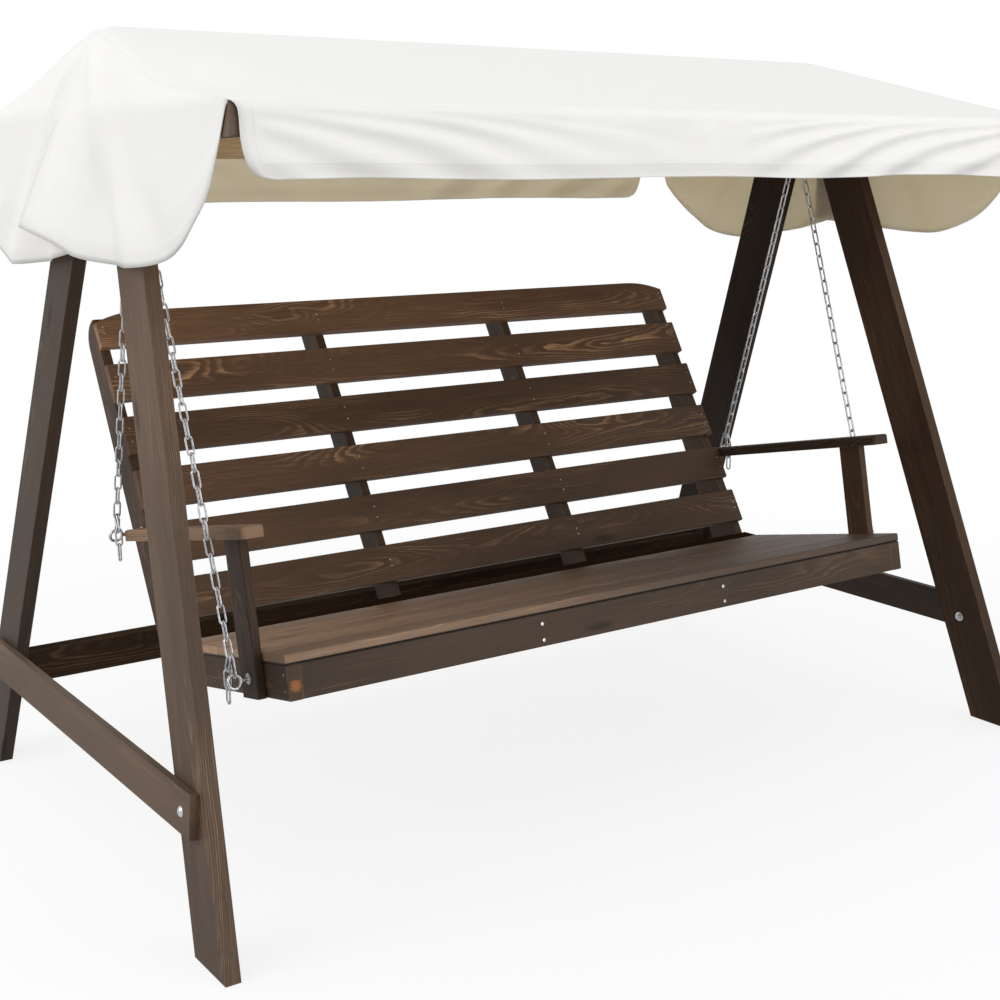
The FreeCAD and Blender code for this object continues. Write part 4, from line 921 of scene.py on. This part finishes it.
def makeScrews(name, spots, tree):
    data = bpy.data.meshes.new(name + "Spots")
    data.from_pydata([tuple(spot) for spot, _, _ in spots], [], [])
    data.attributes.new("facing", "FLOAT_VECTOR", "POINT")
    data.attributes.new("size", "FLOAT", "POINT")
    for index, (_, normal, scale) in enumerate(spots):
        data.attributes["facing"].data[index].vector = normal
        data.attributes["size"].data[index].value = scale
    holder = bpy.data.objects.new(name + "Spots", data)
    bpy.context.scene.collection.objects.link(holder)
    maker = holder.modifiers.new("heads", "NODES")
    maker.node_group = tree
    wanted = {"Head Radius": screw["radius"], "Head Height": screw["height"], "Sides": screw["sides"],
              "Steel": steel}
    for item in tree.interface.items_tree:
        if item.in_out == "INPUT" and item.name in wanted:
            maker[item.identifier] = wanted[item.name]
    graph = bpy.context.evaluated_depsgraph_get()
    plain = bpy.data.meshes.new_from_object(holder.evaluated_get(graph))
    bpy.data.objects.remove(holder)
    heads = bpy.data.objects.new(name, plain)
    bpy.context.scene.collection.objects.link(heads)
    return heads


screwHeads = buildScrewHeads()
for name, spots, body in (("benchScrews", benchScrews(), "bench"), ("standScrews", standScrews(), "stand")):
    heads = makeScrews(name, spots, screwHeads)
    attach(heads, body)
    print(name, "set,", len(spots), "heads")


# Floor, light and camera

studio = {
    "sky": 0.88,
    "floorHalf": 14.0,
    "floorPaper": 0.92,
    "floorRough": 0.9,
    "floorBounce": 0.30,
    "floorWhite": 0.80,
    "floorFade": (1.6, 3.2),
    "lamps": {"front": {"spot": (1.2, -5.2, 1.3), "power": 106.0, "width": 3.5},
              "side": {"spot": (-5.0, 0.3, 2.6), "power": 74.0, "width": 2.5}},
    "lampAim": (0.0, 0.0, 0.8),
    "cameraSpot": (-2.0125, -2.8385, 1.3434),
    "yaw": 0.610,
    "pitch": 0.215,
    "sensor": 36.0,
    "lens": 55.07,
}
white = (1.0, 1.0, 1.0, 1.0)


def seenDirectly(tree):
    path = tree.nodes.new("ShaderNodeLightPath").outputs
    seen = calc(tree, "MAXIMUM", path["Is Camera Ray"], path["Is Glossy Ray"])
    return calc(tree, "MAXIMUM", seen, path["Is Transmission Ray"])


def makeSky(scene):
    world = bpy.data.worlds.new("studio")
    world.use_nodes = True
    scene.world = world
    tree = world.node_tree
    back = tree.nodes["Background"]
    back.inputs["Color"].default_value = white
    tree.links.new(remap(tree, seenDirectly(tree), 0.0, 1.0, studio["sky"], 1.0), back.inputs["Strength"])


def makeFloor(scene):
    half = studio["floorHalf"]
    data = bpy.data.meshes.new("studioFloor")
    corners = [(-half, -half, 0), (half, -half, 0), (half, half, 0), (-half, half, 0)]
    data.from_pydata(corners, [], [(0, 1, 2, 3)])
    floor = bpy.data.objects.new("studioFloor", data)
    scene.collection.objects.link(floor)
    paper, tree, shader = newMaterial("studio_paper")
    # pale to the eye, but it throws less light back at the object
    bounce = tree.nodes.new("ShaderNodeLightPath").outputs["Is Diffuse Ray"]
    bounce = remap(tree, bounce, 0.0, 1.0, studio["floorPaper"], studio["floorBounce"])
    tree.links.new(greyOf(tree, bounce), shader.inputs["Base Color"])
    shader.inputs["Roughness"].default_value = studio["floorRough"]
    glow = addNode(tree, "ShaderNodeEmission", Color=white, Strength=1.0)
    spot = tree.nodes.new("ShaderNodeTexCoord").outputs["Object"]
    away = addNode(tree, "ShaderNodeVectorMath", Vector=spot)
    away.operation = "LENGTH"
    near, far = studio["floorFade"]
    pale = remap(tree, away.outputs["Value"], near, far, studio["floorWhite"], 1.0, True)
    blend = tree.nodes.new("ShaderNodeMixShader")
    tree.links.new(calc(tree, "MULTIPLY", seenDirectly(tree), pale), blend.inputs[0])
    tree.links.new(shader.outputs[0], blend.inputs[1])
    tree.links.new(glow.outputs[0], blend.inputs[2])
    tree.links.new(blend.outputs[0], tree.nodes["Material Output"].inputs["Surface"])
    data.materials.append(paper)


def makeLamps(scene):
    for name, values in studio["lamps"].items():
        lamp = bpy.data.lights.new(name, "AREA")
        lamp.size = values["width"]
        lamp.energy = values["power"]
        holder = bpy.data.objects.new(name, lamp)
        holder.location = values["spot"]
        aim = Vector(studio["lampAim"]) - Vector(values["spot"])
        holder.rotation_euler = aim.to_track_quat("-Z", "Y").to_euler()
        scene.collection.objects.link(holder)


def makeCamera(scene):
    data = bpy.data.cameras.new("camera")
    data.sensor_fit = "HORIZONTAL"
    data.sensor_width = studio["sensor"]
    data.lens = studio["lens"]
    eye = bpy.data.objects.new("camera", data)
    eye.location = studio["cameraSpot"]
    eye.rotation_euler = (math.pi / 2 - studio["pitch"], 0.0, -studio["yaw"])
    scene.collection.objects.link(eye)
    scene.camera = eye


scene = bpy.context.scene
scene.view_settings.view_transform = "Standard"
makeSky(scene)
makeFloor(scene)
makeLamps(scene)
makeCamera(scene)
print("studio and camera set")
